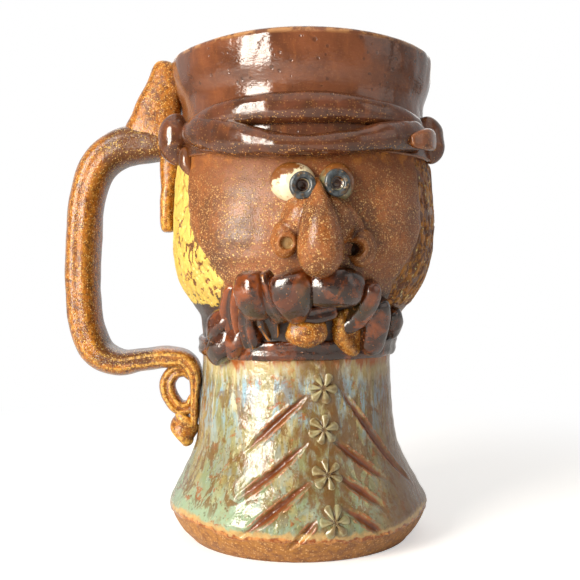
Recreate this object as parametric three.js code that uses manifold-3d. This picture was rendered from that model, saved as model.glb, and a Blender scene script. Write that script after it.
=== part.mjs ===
// A handmade stoneware mug in the shape of a head in a flat cap, set on a buttoned chest.
// The body is thrown on a wheel and its cheeks are pushed out from inside. The cap's band and
// knots, the hair, eyes, nose, lips, moustache, beard, collar, buttons and handle are separate
// pieces of clay that are luted onto the wall, each with a thin seam to what it sits on.
// Millimetres, +Z up. The origin is the middle of the foot, the face looks along -Y, and the
// handle stands out along -X. Angles are degrees round the mug, 0 at -Y and positive to +X.
import * as THREE from "three";
import { mergeVertices } from "three/addons/utils/BufferGeometryUtils.js";
import Module from "manifold-3d";

const wasm = await Module();
wasm.setup();

// Thrown body: radii outside, heights of the chest, the head and the cap's crown
const FOOT_RADIUS = 38;
const FLARE_RADIUS = 44.4;
const FLARE_LEVEL = 11.5;
const WAIST_RADIUS = 32.5;
const CHEST_HEIGHT = 62;
const HEAD_RADIUS = 44.6;
const HEAD_HEIGHT = 66;
const BROW_RADIUS = 43.2;
const CAP_WAIST_RADIUS = 41.8;
const RIM_RADIUS = 45.2;
const CAP_HEIGHT = 35.3;
const WALL = 4.6;
const FOOT_WALL = 8;
const FLOOR = 6.5;

// How far the middle of the thrown wall wanders along X, at even heights from foot to rim
const WANDER = [-0.9, -1.5, -2.1, -1.9, -0.3, 0.5, 0.6, 0.2, -0.1];

// Cheeks pushed out from inside
const CHEEK_PUSH = 2;
const CHEEK_SPREAD = 13;
const CHEEK_ANGLE = 37;
const CHEEK_RISE = 41;

// The face is a second skin of clay on the wall, proud of the hair, with edges that slope this wide
const FACE_SKIN = 1.2;
const FACE_SKIN_SLOPE = 9;

// Where the face looks, and where the column of buttons runs
const FACE_ANGLE = 5;
const BUTTON_ANGLE = 14.8;

// Cap: band, rolled edge, peak, and the knots at its two ends
const BAND_HEIGHT = 16;
const BAND_THICKNESS = 2.6;
const BAND_LEFT = -66;
const BAND_RIGHT = 72;
const CAP_ROLL_HALF_HEIGHT = 4.8;
const CAP_ROLL_HALF_DEPTH = 3.8;
const PEAK_HALF_HEIGHT = 3.2;
const PEAK_HALF_DEPTH = 5;
const KNOT_HALF_WIDTH = 5.4;
const KNOT_HALF_HEIGHT = 8.8;
const KNOT_HALF_DEPTH = 5.2;

// Handle: a pulled strap
const HANDLE_REACH = 77.9;
const HANDLE_TOP_LEVEL = 135;
const HANDLE_LOW_LEVEL = 58.3;
const GRIP_HALF_WIDTH = 9.5;
const GRIP_HALF_DEPTH = 5.8;
const THUMB_REST_HALF_DEPTH = 9;
const TOP_STRIP_LENGTH = 28;
const TOP_STRIP_HALF_WIDTH = 7;
const TOP_STRIP_HALF_DEPTH = 3.1;
const CURL_HALF_HEIGHT = 7.6;
const CURL_HALF_SPAN = 5.6;
const CURL_CORD_RADIUS = 2.3;
const TAIL_LENGTH = 12;
const TAIL_HALF_WIDTH = 3.9;

// Hair, collar and the face's features, with rises measured up from the collar
const HAIR_THICKNESS = 1.3;
const COLLAR_HEIGHT = 6;
const COLLAR_THICKNESS = 1.7;
const EYE_RISE = 54.7;
const EYE_SPACING = 14.6;
const EYE_HALF_WIDTH = 7;
const EYE_HALF_HEIGHT = 6.1;
const EYE_HALF_DEPTH = 5.2;
const IRIS_RADIUS = 2.9;
const IRIS_CORD_RADIUS = 1.05;
const NOSE_RISE = 36.5;
const NOSE_HALF_WIDTH = 7.3;
const NOSE_REACH = 17.5;
const NOSTRIL_RADIUS = 2.1;
const WING_HALF_WIDTH = 4.8;
const WING_HALF_HEIGHT = 6.1;
const WING_HALF_DEPTH = 4.6;
const MOUTH_RISE = 14;
const EYE_LIFT = 1.6;
const WING_LIFT = 2.2;

// Buttons pressed with a flower stamp, and slashes cut beside them
const BUTTON_RADIUS = 4.9;
const BUTTON_HEIGHT = 1.9;
const BUTTON_PETALS = 7;
const BUTTON_LEVELS = [53.2, 40.4, 26.9, 13.8];
const SLASH_HALF_WIDTH = 1.25;
const SLASH_DEPTH = 1.6;

// Seam between two luted pieces, how deep their blanks reach before their seats are cut, and how
// finely the round forms are divided
const SEAM_GAP = 0.3;
const ROOT_DEPTH = 1.2;
const BODY_FACETS = 40;
const OUTSIDE_STEPS = 21;
const INSIDE_STEPS = 9;
const LIP_STEPS = 4;
const MERGE_DISTANCE = 1e-4;

const NECK_LEVEL = CHEST_HEIGHT;
const BROW_LEVEL = NECK_LEVEL + HEAD_HEIGHT;
const RIM_LEVEL = BROW_LEVEL + CAP_HEIGHT;
const BAND_LEVEL = BROW_LEVEL + BAND_HEIGHT / 3;
const MOUTH_LEVEL = NECK_LEVEL + MOUTH_RISE;
const HANDLE_ANGLE = -90;

// Glazes, as the colour and gloss of each coat
const GLAZES = {
  speckled: { color: 0xa5673a, roughness: 0.42 },
  chestnut: { color: 0x5c3a30, roughness: 0.2 },
  treacle: { color: 0x3a1d14, roughness: 0.1 },
  amber: { color: 0xb4702f, roughness: 0.25 },
  straw: { color: 0xe8d36c, roughness: 0.5 },
  ochre: { color: 0xa97a35, roughness: 0.5 },
  cream: { color: 0xece0c4, roughness: 0.2 },
  slate: { color: 0x7d8a92, roughness: 0.15 },
  celadon: { color: 0xa3ac8f, roughness: 0.3 },
};

// A point's share of the way between two values
function mix(from, to, share) {
  return from + (to - from) * share;
}

// A value read off evenly spaced entries of a list, at a share of its length
function along(list, share) {
  const place = THREE.MathUtils.clamp(share, 0, 1) * (list.length - 1);
  const index = Math.min(Math.floor(place), list.length - 2);
  return mix(list[index], list[index + 1], place - index);
}

// The outside of the thrown wall, from foot to rim, as heights and radii. Each curve is pairs
// of the share of the height climbed and the share of the change in radius made there.
const CHEST_CURVE = [[0.1, 0.21], [0.21, 0.45], [0.38, 0.765], [0.66, 0.94]];
const JAW_CURVE = [[0.09, 0.04], [0.2, 0.17], [0.28, 0.46], [0.38, 0.79], [0.54, 0.985], [0.82, 0.98]];
const CAP_FALL = 0.52;
const CAP_CURVE = [[0.7, 0.6], [0.86, 0.93]];

function outlineStations() {
  const stations = [
    [0, FOOT_RADIUS],
    [FLARE_LEVEL * 0.45, mix(FOOT_RADIUS, FLARE_RADIUS, 0.68)],
    [FLARE_LEVEL, FLARE_RADIUS],
  ];
  for (const [climb, change] of CHEST_CURVE) {
    stations.push([mix(FLARE_LEVEL, NECK_LEVEL, climb), mix(FLARE_RADIUS, WAIST_RADIUS, change)]);
  }
  stations.push([NECK_LEVEL, WAIST_RADIUS]);
  for (const [climb, change] of JAW_CURVE) {
    stations.push([mix(NECK_LEVEL, BROW_LEVEL, climb), mix(WAIST_RADIUS, HEAD_RADIUS, change)]);
  }
  stations.push([BROW_LEVEL, BROW_RADIUS]);
  stations.push([mix(BROW_LEVEL, RIM_LEVEL, CAP_FALL), CAP_WAIST_RADIUS]);
  for (const [climb, change] of CAP_CURVE) {
    stations.push([mix(BROW_LEVEL, RIM_LEVEL, climb), mix(CAP_WAIST_RADIUS, RIM_RADIUS, change)]);
  }
  stations.push([RIM_LEVEL, RIM_RADIUS]);
  return stations.map(([level, radius]) => new THREE.Vector3(radius, 0, level));
}

const outline = new THREE.CatmullRomCurve3(outlineStations(), false, "centripetal");
const outlineSamples = outline.getSpacedPoints(240);

// Radius of the plain thrown wall at a height
function thrownRadius(level) {
  const above = outlineSamples.findIndex((point) => point.z >= level);
  if (above === 0) return outlineSamples[0].x;
  if (above < 0) return outlineSamples.at(-1).x;
  const low = outlineSamples[above - 1];
  const high = outlineSamples[above];
  return mix(low.x, high.x, (level - low.z) / (high.z - low.z));
}

// How far the wall is pushed out at a place: a soft bump at each cheek
function pushedOut(level, angle) {
  let push = 0;
  for (const side of [-1, 1]) {
    const away = THREE.MathUtils.degToRad(angle - FACE_ANGLE - side * CHEEK_ANGLE) * HEAD_RADIUS;
    const up = level - NECK_LEVEL - CHEEK_RISE;
    push += CHEEK_PUSH * Math.exp(-(away * away + up * up) / (CHEEK_SPREAD * CHEEK_SPREAD));
  }
  return push;
}

function wallRadius(level, angle) {
  return thrownRadius(level) + pushedOut(level, angle);
}

function bearing(angle) {
  const turn = THREE.MathUtils.degToRad(angle);
  return new THREE.Vector3(Math.sin(turn), -Math.cos(turn), 0);
}

function angleOf(point) {
  return THREE.MathUtils.radToDeg(Math.atan2(point.x, -point.y));
}

// The point that stands off the wall by a distance, at an angle and a height
function offWall(angle, level, lift) {
  const point = bearing(angle).multiplyScalar(wallRadius(level, angle) + lift);
  return point.setZ(level);
}

// A closed geometry as a solid that can be cut and joined
function solidOf(geometry) {
  const loose = geometry.index ? geometry.toNonIndexed() : geometry.clone();
  loose.deleteAttribute("normal");
  loose.deleteAttribute("uv");
  const merged = mergeVertices(loose, MERGE_DISTANCE);
  const corners = merged.index.array;
  const triangles = [];
  for (let i = 0; i < corners.length; i += 3) {
    const [a, b, c] = corners.subarray(i, i + 3);
    if (a !== b && b !== c && c !== a) triangles.push(a, b, c);
  }
  return new wasm.Manifold(
    new wasm.Mesh({
      numProp: 3,
      vertProperties: merged.attributes.position.array,
      triVerts: new Uint32Array(triangles),
    }),
  );
}

// Moves each vertex of a geometry to where a function of its place puts it
function reshape(geometry, move) {
  const position = geometry.attributes.position;
  const point = new THREE.Vector3();
  for (let i = 0; i < position.count; i += 1) {
    point.fromBufferAttribute(position, i);
    const moved = move(point);
    position.setXYZ(i, moved.x, moved.y, moved.z);
  }
  return geometry;
}

// A profile of [radius, height] pairs, from the axis or closed on itself, spun round the Z axis
function revolve(profile, facets) {
  const points = profile.map(([radius, height]) => new THREE.Vector2(radius, height));
  return new THREE.LatheGeometry(points, facets).rotateX(Math.PI / 2);
}

// How far the face's skin stands out at a place, between the hair's two edges
function faceSkin(level, angle) {
  const low = NECK_LEVEL + HAIR_LOW_RISE;
  const up = (level - low) / (BROW_LEVEL - low);
  const inside = Math.min(angle - along(HAIR_EDGE_LEFT, up), along(HAIR_EDGE_RIGHT, up) - angle);
  const across = THREE.MathUtils.clamp(inside / FACE_SKIN_SLOPE, 0, 1);
  const rise = THREE.MathUtils.smoothstep(level, NECK_LEVEL + COLLAR_HEIGHT, low);
  return level < BAND_LEVEL ? FACE_SKIN * across * rise : 0;
}

// Gives a spun form the cheeks of the pushed wall, and its outside the face's skin
function withCheeks(geometry) {
  return reshape(geometry, (point) => {
    const radius = Math.hypot(point.x, point.y);
    if (radius < WAIST_RADIUS / 2) return point;
    const angle = angleOf(point);
    const outside = radius > thrownRadius(point.z) - SEAM_GAP;
    const push = pushedOut(point.z, angle) + (outside ? faceSkin(point.z, angle) : 0);
    return new THREE.Vector3(point.x, point.y, 0).multiplyScalar(1 + push / radius).setZ(point.z);
  });
}

// The space that the body fills from outside, grown by a gap: what is luted on is cut by it
function bodySpace(grow) {
  const profile = [[0, -grow]];
  for (let i = 0; i <= OUTSIDE_STEPS; i += 1) {
    const point = outline.getPointAt(i / OUTSIDE_STEPS);
    profile.push([point.x + grow, i === 0 ? -grow : point.z]);
  }
  profile.push([RIM_RADIUS - WALL / 2, RIM_LEVEL + grow]);
  profile.push([0, RIM_LEVEL + grow]);
  return solidOf(withCheeks(revolve(profile, BODY_FACETS)));
}

// The thrown body: outside, rounded lip, inside and floor in one closed profile
function thrownBody() {
  const profile = [[0, 0]];
  const lip = WALL / 2;
  for (let i = 0; i < OUTSIDE_STEPS; i += 1) {
    const point = outline.getPointAt(i / OUTSIDE_STEPS);
    profile.push([point.x, point.z]);
  }
  for (let i = 0; i <= LIP_STEPS; i += 1) {
    const turn = (Math.PI * i) / LIP_STEPS;
    profile.push([RIM_RADIUS - lip + lip * Math.cos(turn), RIM_LEVEL - lip + lip * Math.sin(turn)]);
  }
  const insideTop = RIM_LEVEL - WALL * 2;
  for (let i = 0; i <= INSIDE_STEPS; i += 1) {
    const level = mix(insideTop, FLOOR * 2, i / INSIDE_STEPS);
    const nearFoot = THREE.MathUtils.smoothstep(FLARE_LEVEL * 2.5 - level, 0, FLARE_LEVEL * 2);
    profile.push([thrownRadius(level) - mix(WALL, FOOT_WALL, nearFoot), level]);
  }
  const floorRadius = thrownRadius(FLOOR) - FOOT_WALL;
  profile.push([floorRadius * 0.93, mix(FLOOR, FLOOR * 2, 0.3)]);
  profile.push([floorRadius * 0.8, FLOOR]);
  profile.push([0, FLOOR]);
  return solidOf(withCheeks(revolve(profile, BODY_FACETS)));
}

// A soft roll of clay along a path. A ball's rings are laid along it, so that its poles become
// the two ends. Widths lie across the path and depths stand along outward, both as half sizes
// at even shares of the path, and blunt is how square the ends are.
function clayRoll({ path, widths, depths, outward, around = 10, rings = 8, blunt = 2.4, grow = 0 }) {
  return reshape(new THREE.SphereGeometry(1, around, rings), (point) => {
    const share = THREE.MathUtils.clamp((1 - point.y) / 2, 0, 1);
    const middle = path.getPointAt(share);
    const tangent = path.getTangentAt(share);
    const facing = outward(middle, share);
    facing.addScaledVector(tangent, -facing.dot(tangent)).normalize();
    const across = new THREE.Vector3().crossVectors(facing, tangent);
    const ring = Math.hypot(point.x, point.z);
    const taper = (1 - Math.abs(point.y) ** blunt) ** (1 / blunt);
    const spread = ring > MERGE_DISTANCE ? taper / ring : 0;
    const width = (along(widths, share) + grow) * spread;
    const depth = (along(depths, share) + grow) * spread;
    return middle
      .addScaledVector(tangent, -point.y * grow)
      .addScaledVector(across, point.x * width)
      .addScaledVector(facing, point.z * depth);
  });
}

function outOfWall(point) {
  return new THREE.Vector3(point.x, point.y, 0).normalize();
}

function smoothPath(points) {
  return new THREE.CatmullRomCurve3(points, false, "centripetal");
}

// A roll laid on the wall through [angle, level, lift] places
function wallRoll(places, sizes) {
  const path = smoothPath(places.map(([angle, level, lift]) => offWall(angle, level, lift)));
  return clayRoll({ path, outward: outOfWall, ...sizes });
}

// A pressed ball on the wall, with half sizes across, up and out
function wallBall(angle, level, lift, [across, up, out], { around = 14, rings = 10 } = {}) {
  const ball = new THREE.SphereGeometry(1, around, rings).rotateX(Math.PI / 2);
  const middle = offWall(angle, level, lift);
  ball.scale(across, out, up).rotateZ(THREE.MathUtils.degToRad(angle));
  return ball.translate(middle.x, middle.y, middle.z);
}

// Lays a flat form, drawn in x and y with its thickness along z, round the wall
function wrapped(geometry, angle, level) {
  return reshape(geometry, (point) => {
    const height = level + point.y;
    const turn = angle + THREE.MathUtils.radToDeg(point.x / wallRadius(level, angle));
    return offWall(turn, height, point.z);
  });
}

// A slab of clay that follows the wall between two edges, which may slope. Its sides at a share
// of its height are given by left and right, in degrees, and its skin thins towards its edges.
function wallSlab({ low, high, left, right, thickness, columns, rows, grow = 0 }) {
  const block = new THREE.BoxGeometry(1, 1, 1, columns, rows, 1);
  return reshape(block, (point) => {
    const across = point.x + 0.5;
    const up = point.y + 0.5;
    const level = mix(low - grow, high + grow, up);
    const spare = THREE.MathUtils.radToDeg(grow / WAIST_RADIUS);
    const angle = mix(left(up) - spare, right(up) + spare, across);
    const edge = Math.min(across * columns, (1 - across) * columns, up * rows, (1 - up) * rows, 1);
    const skin = mix(thickness / 2, thickness, edge) + grow;
    return offWall(angle, level, point.z > 0 ? SEAM_GAP + skin : -ROOT_DEPTH);
  });
}

// Pieces in the order in which they are luted on, each with the space that later ones keep to
const pieces = [];

function biggestBody(solid) {
  const bodies = solid.decompose();
  return bodies.reduce((most, body) => (body.volume() > most.volume() ? body : most));
}

function meets(one, other) {
  const a = one.boundingBox();
  const b = other.boundingBox();
  return [0, 1, 2].every((axis) => a.min[axis] <= b.max[axis] && b.min[axis] <= a.max[axis]);
}

// Lutes a piece on: form makes it at its size or grown by a gap, and what is there before it
// shapes its seat
function lute(name, glaze, form) {
  let solid = solidOf(form(0));
  for (const earlier of pieces) {
    if (meets(solid, earlier.space)) solid = solid.subtract(earlier.space);
  }
  pieces.push({ name, glaze, solid: biggestBody(solid), space: solidOf(form(SEAM_GAP)) });
}

// Slashes beside the buttons: [angle, level] where each starts and ends
const SLASHES = [
  [[23, 53.8], [54.5, 30.8], [68, 19.5]],
  [[19, 37.3], [34, 29.8], [48, 22.9]],
  [[20.5, 26.1], [30.5, 21], [40, 15.8]],
  [[20, 16.9], [30.5, 11.6], [40.5, 6.5]],
  [[7, 51.4], [-10, 42.4], [-27, 32.9]],
  [[7.2, 36.9], [-10, 27.8], [-28, 18.4]],
  [[8, 25.8], [-8.5, 17.2], [-25, 8.2]],
  [[7.4, 14.5], [1.6, 9.6], [-4.4, 5.2]],
];

function slashedBody() {
  let body = thrownBody();
  for (const places of SLASHES) {
    const cut = wallRoll(places.map(([angle, level]) => [angle, level, 0]), {
      widths: [SLASH_HALF_WIDTH, SLASH_HALF_WIDTH],
      depths: [SLASH_DEPTH, SLASH_DEPTH],
      around: 4,
      rings: 6,
      blunt: 1.6,
    });
    body = body.subtract(solidOf(cut));
  }
  return body;
}

function addBody() {
  pieces.push({ name: "body", glaze: "celadon", solid: slashedBody(), space: bodySpace(SEAM_GAP) });
}

// Hair: a slab each side of the head, from the edge of the face round to a parting at the back
const HAIR_LOW_RISE = 16.5;
const HAIR_EDGE_LEFT = [-44, -34, -41, -50, -54, -56, -57];
const HAIR_EDGE_RIGHT = [46, 42, 48, 53, 54, 54, 54];
const PARTING_ANGLE = 180;

function addHair() {
  const parting = THREE.MathUtils.radToDeg(SEAM_GAP / WAIST_RADIUS);
  const shared = {
    low: NECK_LEVEL + HAIR_LOW_RISE,
    high: BROW_LEVEL - SEAM_GAP * 2,
    thickness: HAIR_THICKNESS,
    columns: 12,
    rows: 8,
  };
  lute("hair_left", "straw", (grow) => wallSlab({
    ...shared,
    left: () => parting - PARTING_ANGLE,
    right: (up) => along(HAIR_EDGE_LEFT, up),
    grow,
  }));
  lute("hair_right", "ochre", (grow) => wallSlab({
    ...shared,
    left: (up) => along(HAIR_EDGE_RIGHT, up),
    right: () => PARTING_ANGLE - parting,
    grow,
  }));
}

// Collar: a flat ring round the neck, under the beard
function addCollar() {
  const high = NECK_LEVEL + COLLAR_HEIGHT;
  lute("collar", "treacle", (grow) => {
    const inner = (level) => thrownRadius(level) - ROOT_DEPTH;
    const outer = (level) => thrownRadius(level) + SEAM_GAP + COLLAR_THICKNESS + grow;
    const middle = NECK_LEVEL + COLLAR_HEIGHT / 2;
    const crease = COLLAR_THICKNESS / 3;
    return revolve([
      [inner(NECK_LEVEL), NECK_LEVEL - grow],
      [outer(NECK_LEVEL) - crease, NECK_LEVEL - grow],
      [outer(middle), middle - COLLAR_HEIGHT / 4],
      [outer(middle), middle + COLLAR_HEIGHT / 6],
      [outer(high) - crease, high + grow],
      [inner(high), high + grow],
      [inner(middle), middle],
      [inner(NECK_LEVEL), NECK_LEVEL - grow],
    ], BODY_FACETS);
  });
}

// Cap: a band slab, a rolled edge above it, a peak below it, and knots where they end. Drops and
// rises are measured from the band's edges, as shares of its height, and swells are shares of a
// half size, all at even steps from left to right.
const KNOT_RISE = 1.6;
const ROLL_DROPS = [0.29, 0.21, 0.125, 0.12, 0.16, 0.31];
const ROLL_SWELLS = [0.6, 0.85, 1, 1, 0.85, 0.6];
const PEAK_RISES = [0.52, 0.42, 0.25, 0.08, 0.03, 0.14, 0.3, 0.42, 0.45];
const PEAK_SWELLS = [1.7, 2.05, 1.8, 1.25, 1.05, 1.2, 1.5, 1.7, 1.55];
const PEAK_DEPTH_SWELLS = [0.65, 0.8, 0.9, 0.95, 0.95, 0.95, 0.85, 0.75, 0.6];
const PEAK_LIFT = 3.4;
const KNOT_OVERLAP_ANGLE = 4;

// The left end's tail and the right end's flat fold: how far inside the band's end in degrees,
// and then the rise from its lower edge and the lift off the wall as shares of its thickness
const TAIL_LINE = [[7, 1.9, 0.7], [8, 0, 0.7], [9, -2.3, 0.45]];
const TAIL_WIDTH_SHARES = [1.3, 1.15, 0.6];
const TAIL_DEPTH_SHARES = [1.15, 1, 0.6];
const FOLD_LINE = [[24, 1.5, 1.15], [10, 2.3, 1.15]];
const FOLD_WIDTH_SHARES = [0.6, 1.3, 1.4];
const FOLD_DEPTH_SHARES = [0.7, 0.77, 0.6];

function scaled(shares, size) {
  return shares.map((share) => share * size);
}

function addCap() {
  const topEdge = BAND_LEVEL + BAND_HEIGHT / 2;
  const lowEdge = BAND_LEVEL - BAND_HEIGHT / 2;
  const peakLevel = lowEdge + PEAK_HALF_HEIGHT / 2;
  lute("cap_band", "chestnut", (grow) => wallSlab({
    low: peakLevel,
    high: topEdge - CAP_ROLL_HALF_HEIGHT / 2,
    left: () => BAND_LEFT,
    right: () => BAND_RIGHT,
    thickness: BAND_THICKNESS,
    columns: 16,
    rows: 2,
    grow,
  }));
  for (const [side, end] of [["left", BAND_LEFT], ["right", BAND_RIGHT]]) {
    const half = [KNOT_HALF_WIDTH, KNOT_HALF_HEIGHT, KNOT_HALF_DEPTH];
    lute("cap_knot_" + side, "chestnut", (grow) => wallBall(
      end, BAND_LEVEL + KNOT_RISE, KNOT_HALF_DEPTH / 2, half.map((size) => size + grow),
      { around: 12, rings: 8 },
    ));
  }
  const span = (index, list) => mix(
    BAND_LEFT + KNOT_OVERLAP_ANGLE, BAND_RIGHT - KNOT_OVERLAP_ANGLE, index / (list.length - 1),
  );
  lute("cap_roll", "chestnut", (grow) => wallRoll(
    ROLL_DROPS.map((drop, i) => [span(i, ROLL_DROPS), topEdge - drop * BAND_HEIGHT, BAND_THICKNESS]),
    {
      widths: scaled(ROLL_SWELLS, CAP_ROLL_HALF_HEIGHT),
      depths: [CAP_ROLL_HALF_DEPTH, CAP_ROLL_HALF_DEPTH],
      around: 9,
      rings: 18,
      blunt: 3,
      grow,
    },
  ));
  lute("cap_peak", "chestnut", (grow) => wallRoll(
    PEAK_RISES.map((rise, i) => [span(i, PEAK_RISES), peakLevel + rise * BAND_HEIGHT, PEAK_LIFT]),
    {
      widths: scaled(PEAK_SWELLS, PEAK_HALF_HEIGHT),
      depths: scaled(PEAK_DEPTH_SWELLS, PEAK_HALF_DEPTH),
      around: 9,
      rings: 18,
      blunt: 3,
      grow,
    },
  ));
  const onEdge = (end, inwards) => ([inside, rise, lift]) => [
    end + inwards * inside, lowEdge + rise * BAND_THICKNESS, lift * BAND_THICKNESS,
  ];
  lute("cap_tail_left", "chestnut", (grow) => wallRoll(TAIL_LINE.map(onEdge(BAND_LEFT, 1)), {
    widths: scaled(TAIL_WIDTH_SHARES, BAND_THICKNESS),
    depths: scaled(TAIL_DEPTH_SHARES, BAND_THICKNESS),
    around: 8,
    rings: 6,
    grow,
  }));
  lute("cap_fold_right", "chestnut", (grow) => wallRoll(FOLD_LINE.map(onEdge(BAND_RIGHT, -1)), {
    widths: scaled(FOLD_WIDTH_SHARES, BAND_THICKNESS),
    depths: scaled(FOLD_DEPTH_SHARES, BAND_THICKNESS),
    around: 8,
    rings: 6,
    grow,
  }));
}

// Handle: strap, thumb rest up to the rim, strip pressed down the wall, curl and tail below
function inHandlePlane(out, level) {
  return new THREE.Vector3(-out, 0, level);
}

function outOfLoop(path) {
  const sideways = new THREE.Vector3(0, 1, 0);
  return (middle, share) => new THREE.Vector3().crossVectors(path.getTangentAt(share), sideways);
}

// The strap's middle line, as shares of its reach and of its height, and then down the wall, as
// the rise from its low level and the lift off the wall in shares of its half depth
const GRIP_LINE = [
  [0.22, 1], [0.59, 0.985], [0.84, 0.9], [0.965, 0.755], [1, 0.585], [1, 0.415], [0.97, 0.265],
  [0.895, 0.14], [0.75, 0.04], [0.53, 0], [0.3, 0.012], [0.04, 0.025],
];
const LANDING_LINE = [[0.17, 1.1], [-0.69, 0.52], [-2.24, 0.4], [-3.97, 0.28]];
const GRIP_DEPTH_SWELLS = [1.2, 1.15, 1.25, 1.1, 1, 1, 1, 1, 0.97, 0.95, 0.85, 0.7, 0.68, 0.5, 0.36, 0.32];
const GRIP_WIDTH_SWELLS = [1.1, 1.05, 1, 1, 1, 1, 1, 1, 1, 0.98, 0.95, 0.9, 0.85, 0.8, 0.7, 0.6];

// The thumb rest's middle line, as what it stands off the cap's waist in shares of its half
// depth, and its share of the way up
const REST_LINE = [[1.2, -0.08], [1.03, 0.33], [0.8, 0.7]];
const REST_TOP_LIFT = 3;
const REST_ABOVE_RIM = 1.5;
const REST_WIDTH_SWELLS = [1, 0.85, 0.66, 0.5];
const REST_DEPTH_SWELLS = [1.6, 1.05, 0.76, 0.52];
const STRIP_LIFT = 1.9;
const STRIP_DEPTH_SWELLS = [1.7, 1, 1.03];
const STRIP_WIDTH_SWELLS = [1.1, 1, 0.9];

function addHandle() {
  const points = [inHandlePlane(HEAD_RADIUS - WALL, HANDLE_TOP_LEVEL)];
  for (const [out, up] of GRIP_LINE) {
    points.push(inHandlePlane(
      mix(HEAD_RADIUS, HANDLE_REACH, out), mix(HANDLE_LOW_LEVEL, HANDLE_TOP_LEVEL, up),
    ));
  }
  for (const [rise, lift] of LANDING_LINE) {
    const level = HANDLE_LOW_LEVEL + rise * GRIP_HALF_DEPTH;
    points.push(inHandlePlane(thrownRadius(level) + lift * GRIP_HALF_DEPTH, level));
  }
  const path = smoothPath(points);
  lute("handle", "amber", (grow) => clayRoll({
    path,
    widths: scaled(GRIP_WIDTH_SWELLS, GRIP_HALF_WIDTH),
    depths: scaled(GRIP_DEPTH_SWELLS, GRIP_HALF_DEPTH),
    outward: outOfLoop(path),
    around: 10,
    rings: 30,
    blunt: 5,
    grow,
  }));

  const rest = smoothPath([
    ...REST_LINE.map(([off, up]) => inHandlePlane(
      CAP_WAIST_RADIUS + off * THUMB_REST_HALF_DEPTH, mix(HANDLE_TOP_LEVEL, RIM_LEVEL, up),
    )),
    inHandlePlane(RIM_RADIUS + REST_TOP_LIFT, RIM_LEVEL + REST_ABOVE_RIM),
  ]);
  lute("thumb_rest", "amber", (grow) => clayRoll({
    path: rest,
    widths: scaled(REST_WIDTH_SWELLS, GRIP_HALF_WIDTH),
    depths: scaled(REST_DEPTH_SWELLS, THUMB_REST_HALF_DEPTH),
    outward: outOfLoop(rest),
    around: 10,
    rings: 8,
    blunt: 4,
    grow,
  }));

  lute("handle_top_strip", "amber", (grow) => wallRoll(
    [0, 0.5, 1].map((share) => [
      HANDLE_ANGLE, HANDLE_TOP_LEVEL - GRIP_HALF_DEPTH / 2 - share * TOP_STRIP_LENGTH,
      HAIR_THICKNESS + STRIP_LIFT,
    ]),
    {
      widths: scaled(STRIP_WIDTH_SWELLS, TOP_STRIP_HALF_WIDTH),
      depths: scaled(STRIP_DEPTH_SWELLS, TOP_STRIP_HALF_DEPTH),
      around: 8,
      rings: 8,
      blunt: 4,
      grow,
    },
  ));
  addHandleCurl();
}

// The curl's middle line, as shares of its half span inwards and of its half height up
const CURL_LINE = [
  [0.75, 0.45], [0.2, 0.85], [-0.5, 0.8], [-1, 0.3],
  [-0.85, -0.35], [-0.2, -0.9], [0.55, -0.85], [0.72, -0.3],
];
const CURL_DROP = 1.5;
const CURL_INSET = 0.3;
const CURL_WIDTH_SWELLS = [1.6, 1.9, 1.6];
const TAIL_TWIST_LINE = [[0.2, -0.04], [-0.1, 0.45], [-0.6, 1]];
const TAIL_WIDTH_SWELLS = [0.8, 1.15, 0.9];
const TAIL_DEPTH_SWELLS = [0.85, 1.1, 0.9];

function addHandleCurl() {
  const landing = thrownRadius(HANDLE_LOW_LEVEL - CURL_HALF_HEIGHT) + GRIP_HALF_DEPTH;
  const out = landing + CURL_HALF_SPAN * CURL_INSET;
  const level = HANDLE_LOW_LEVEL - CURL_HALF_HEIGHT - CURL_DROP;
  const loop = smoothPath(CURL_LINE.map(([inwards, up]) => inHandlePlane(
    out - inwards * CURL_HALF_SPAN, level + up * CURL_HALF_HEIGHT,
  )));
  lute("handle_curl", "amber", (grow) => clayRoll({
    path: loop,
    widths: scaled(CURL_WIDTH_SWELLS, CURL_CORD_RADIUS),
    depths: [CURL_CORD_RADIUS, CURL_CORD_RADIUS],
    outward: outOfLoop(loop),
    around: 8,
    rings: 16,
    blunt: 4,
    grow,
  }));
  const tail = smoothPath(TAIL_TWIST_LINE.map(([off, down]) => inHandlePlane(
    out + off * TAIL_HALF_WIDTH, level - CURL_HALF_HEIGHT - down * TAIL_LENGTH,
  )));
  lute("handle_tail", "amber", (grow) => clayRoll({
    path: tail,
    widths: scaled(TAIL_WIDTH_SWELLS, TAIL_HALF_WIDTH),
    depths: scaled(TAIL_DEPTH_SWELLS, TAIL_HALF_WIDTH),
    outward: outOfLoop(tail),
    around: 10,
    rings: 7,
    grow,
  }));
}

// Eyes: two pressed balls close beside the nose, each with a ring of clay for an iris
const EYE_SIDES = [
  { side: "left", way: -1, squeeze: 1, look: 0.42, drop: 0.25 },
  { side: "right", way: 0.79, squeeze: 0.8, look: -0.13, drop: 0.11 },
];
const CORD_CORNERS = 6;

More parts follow.
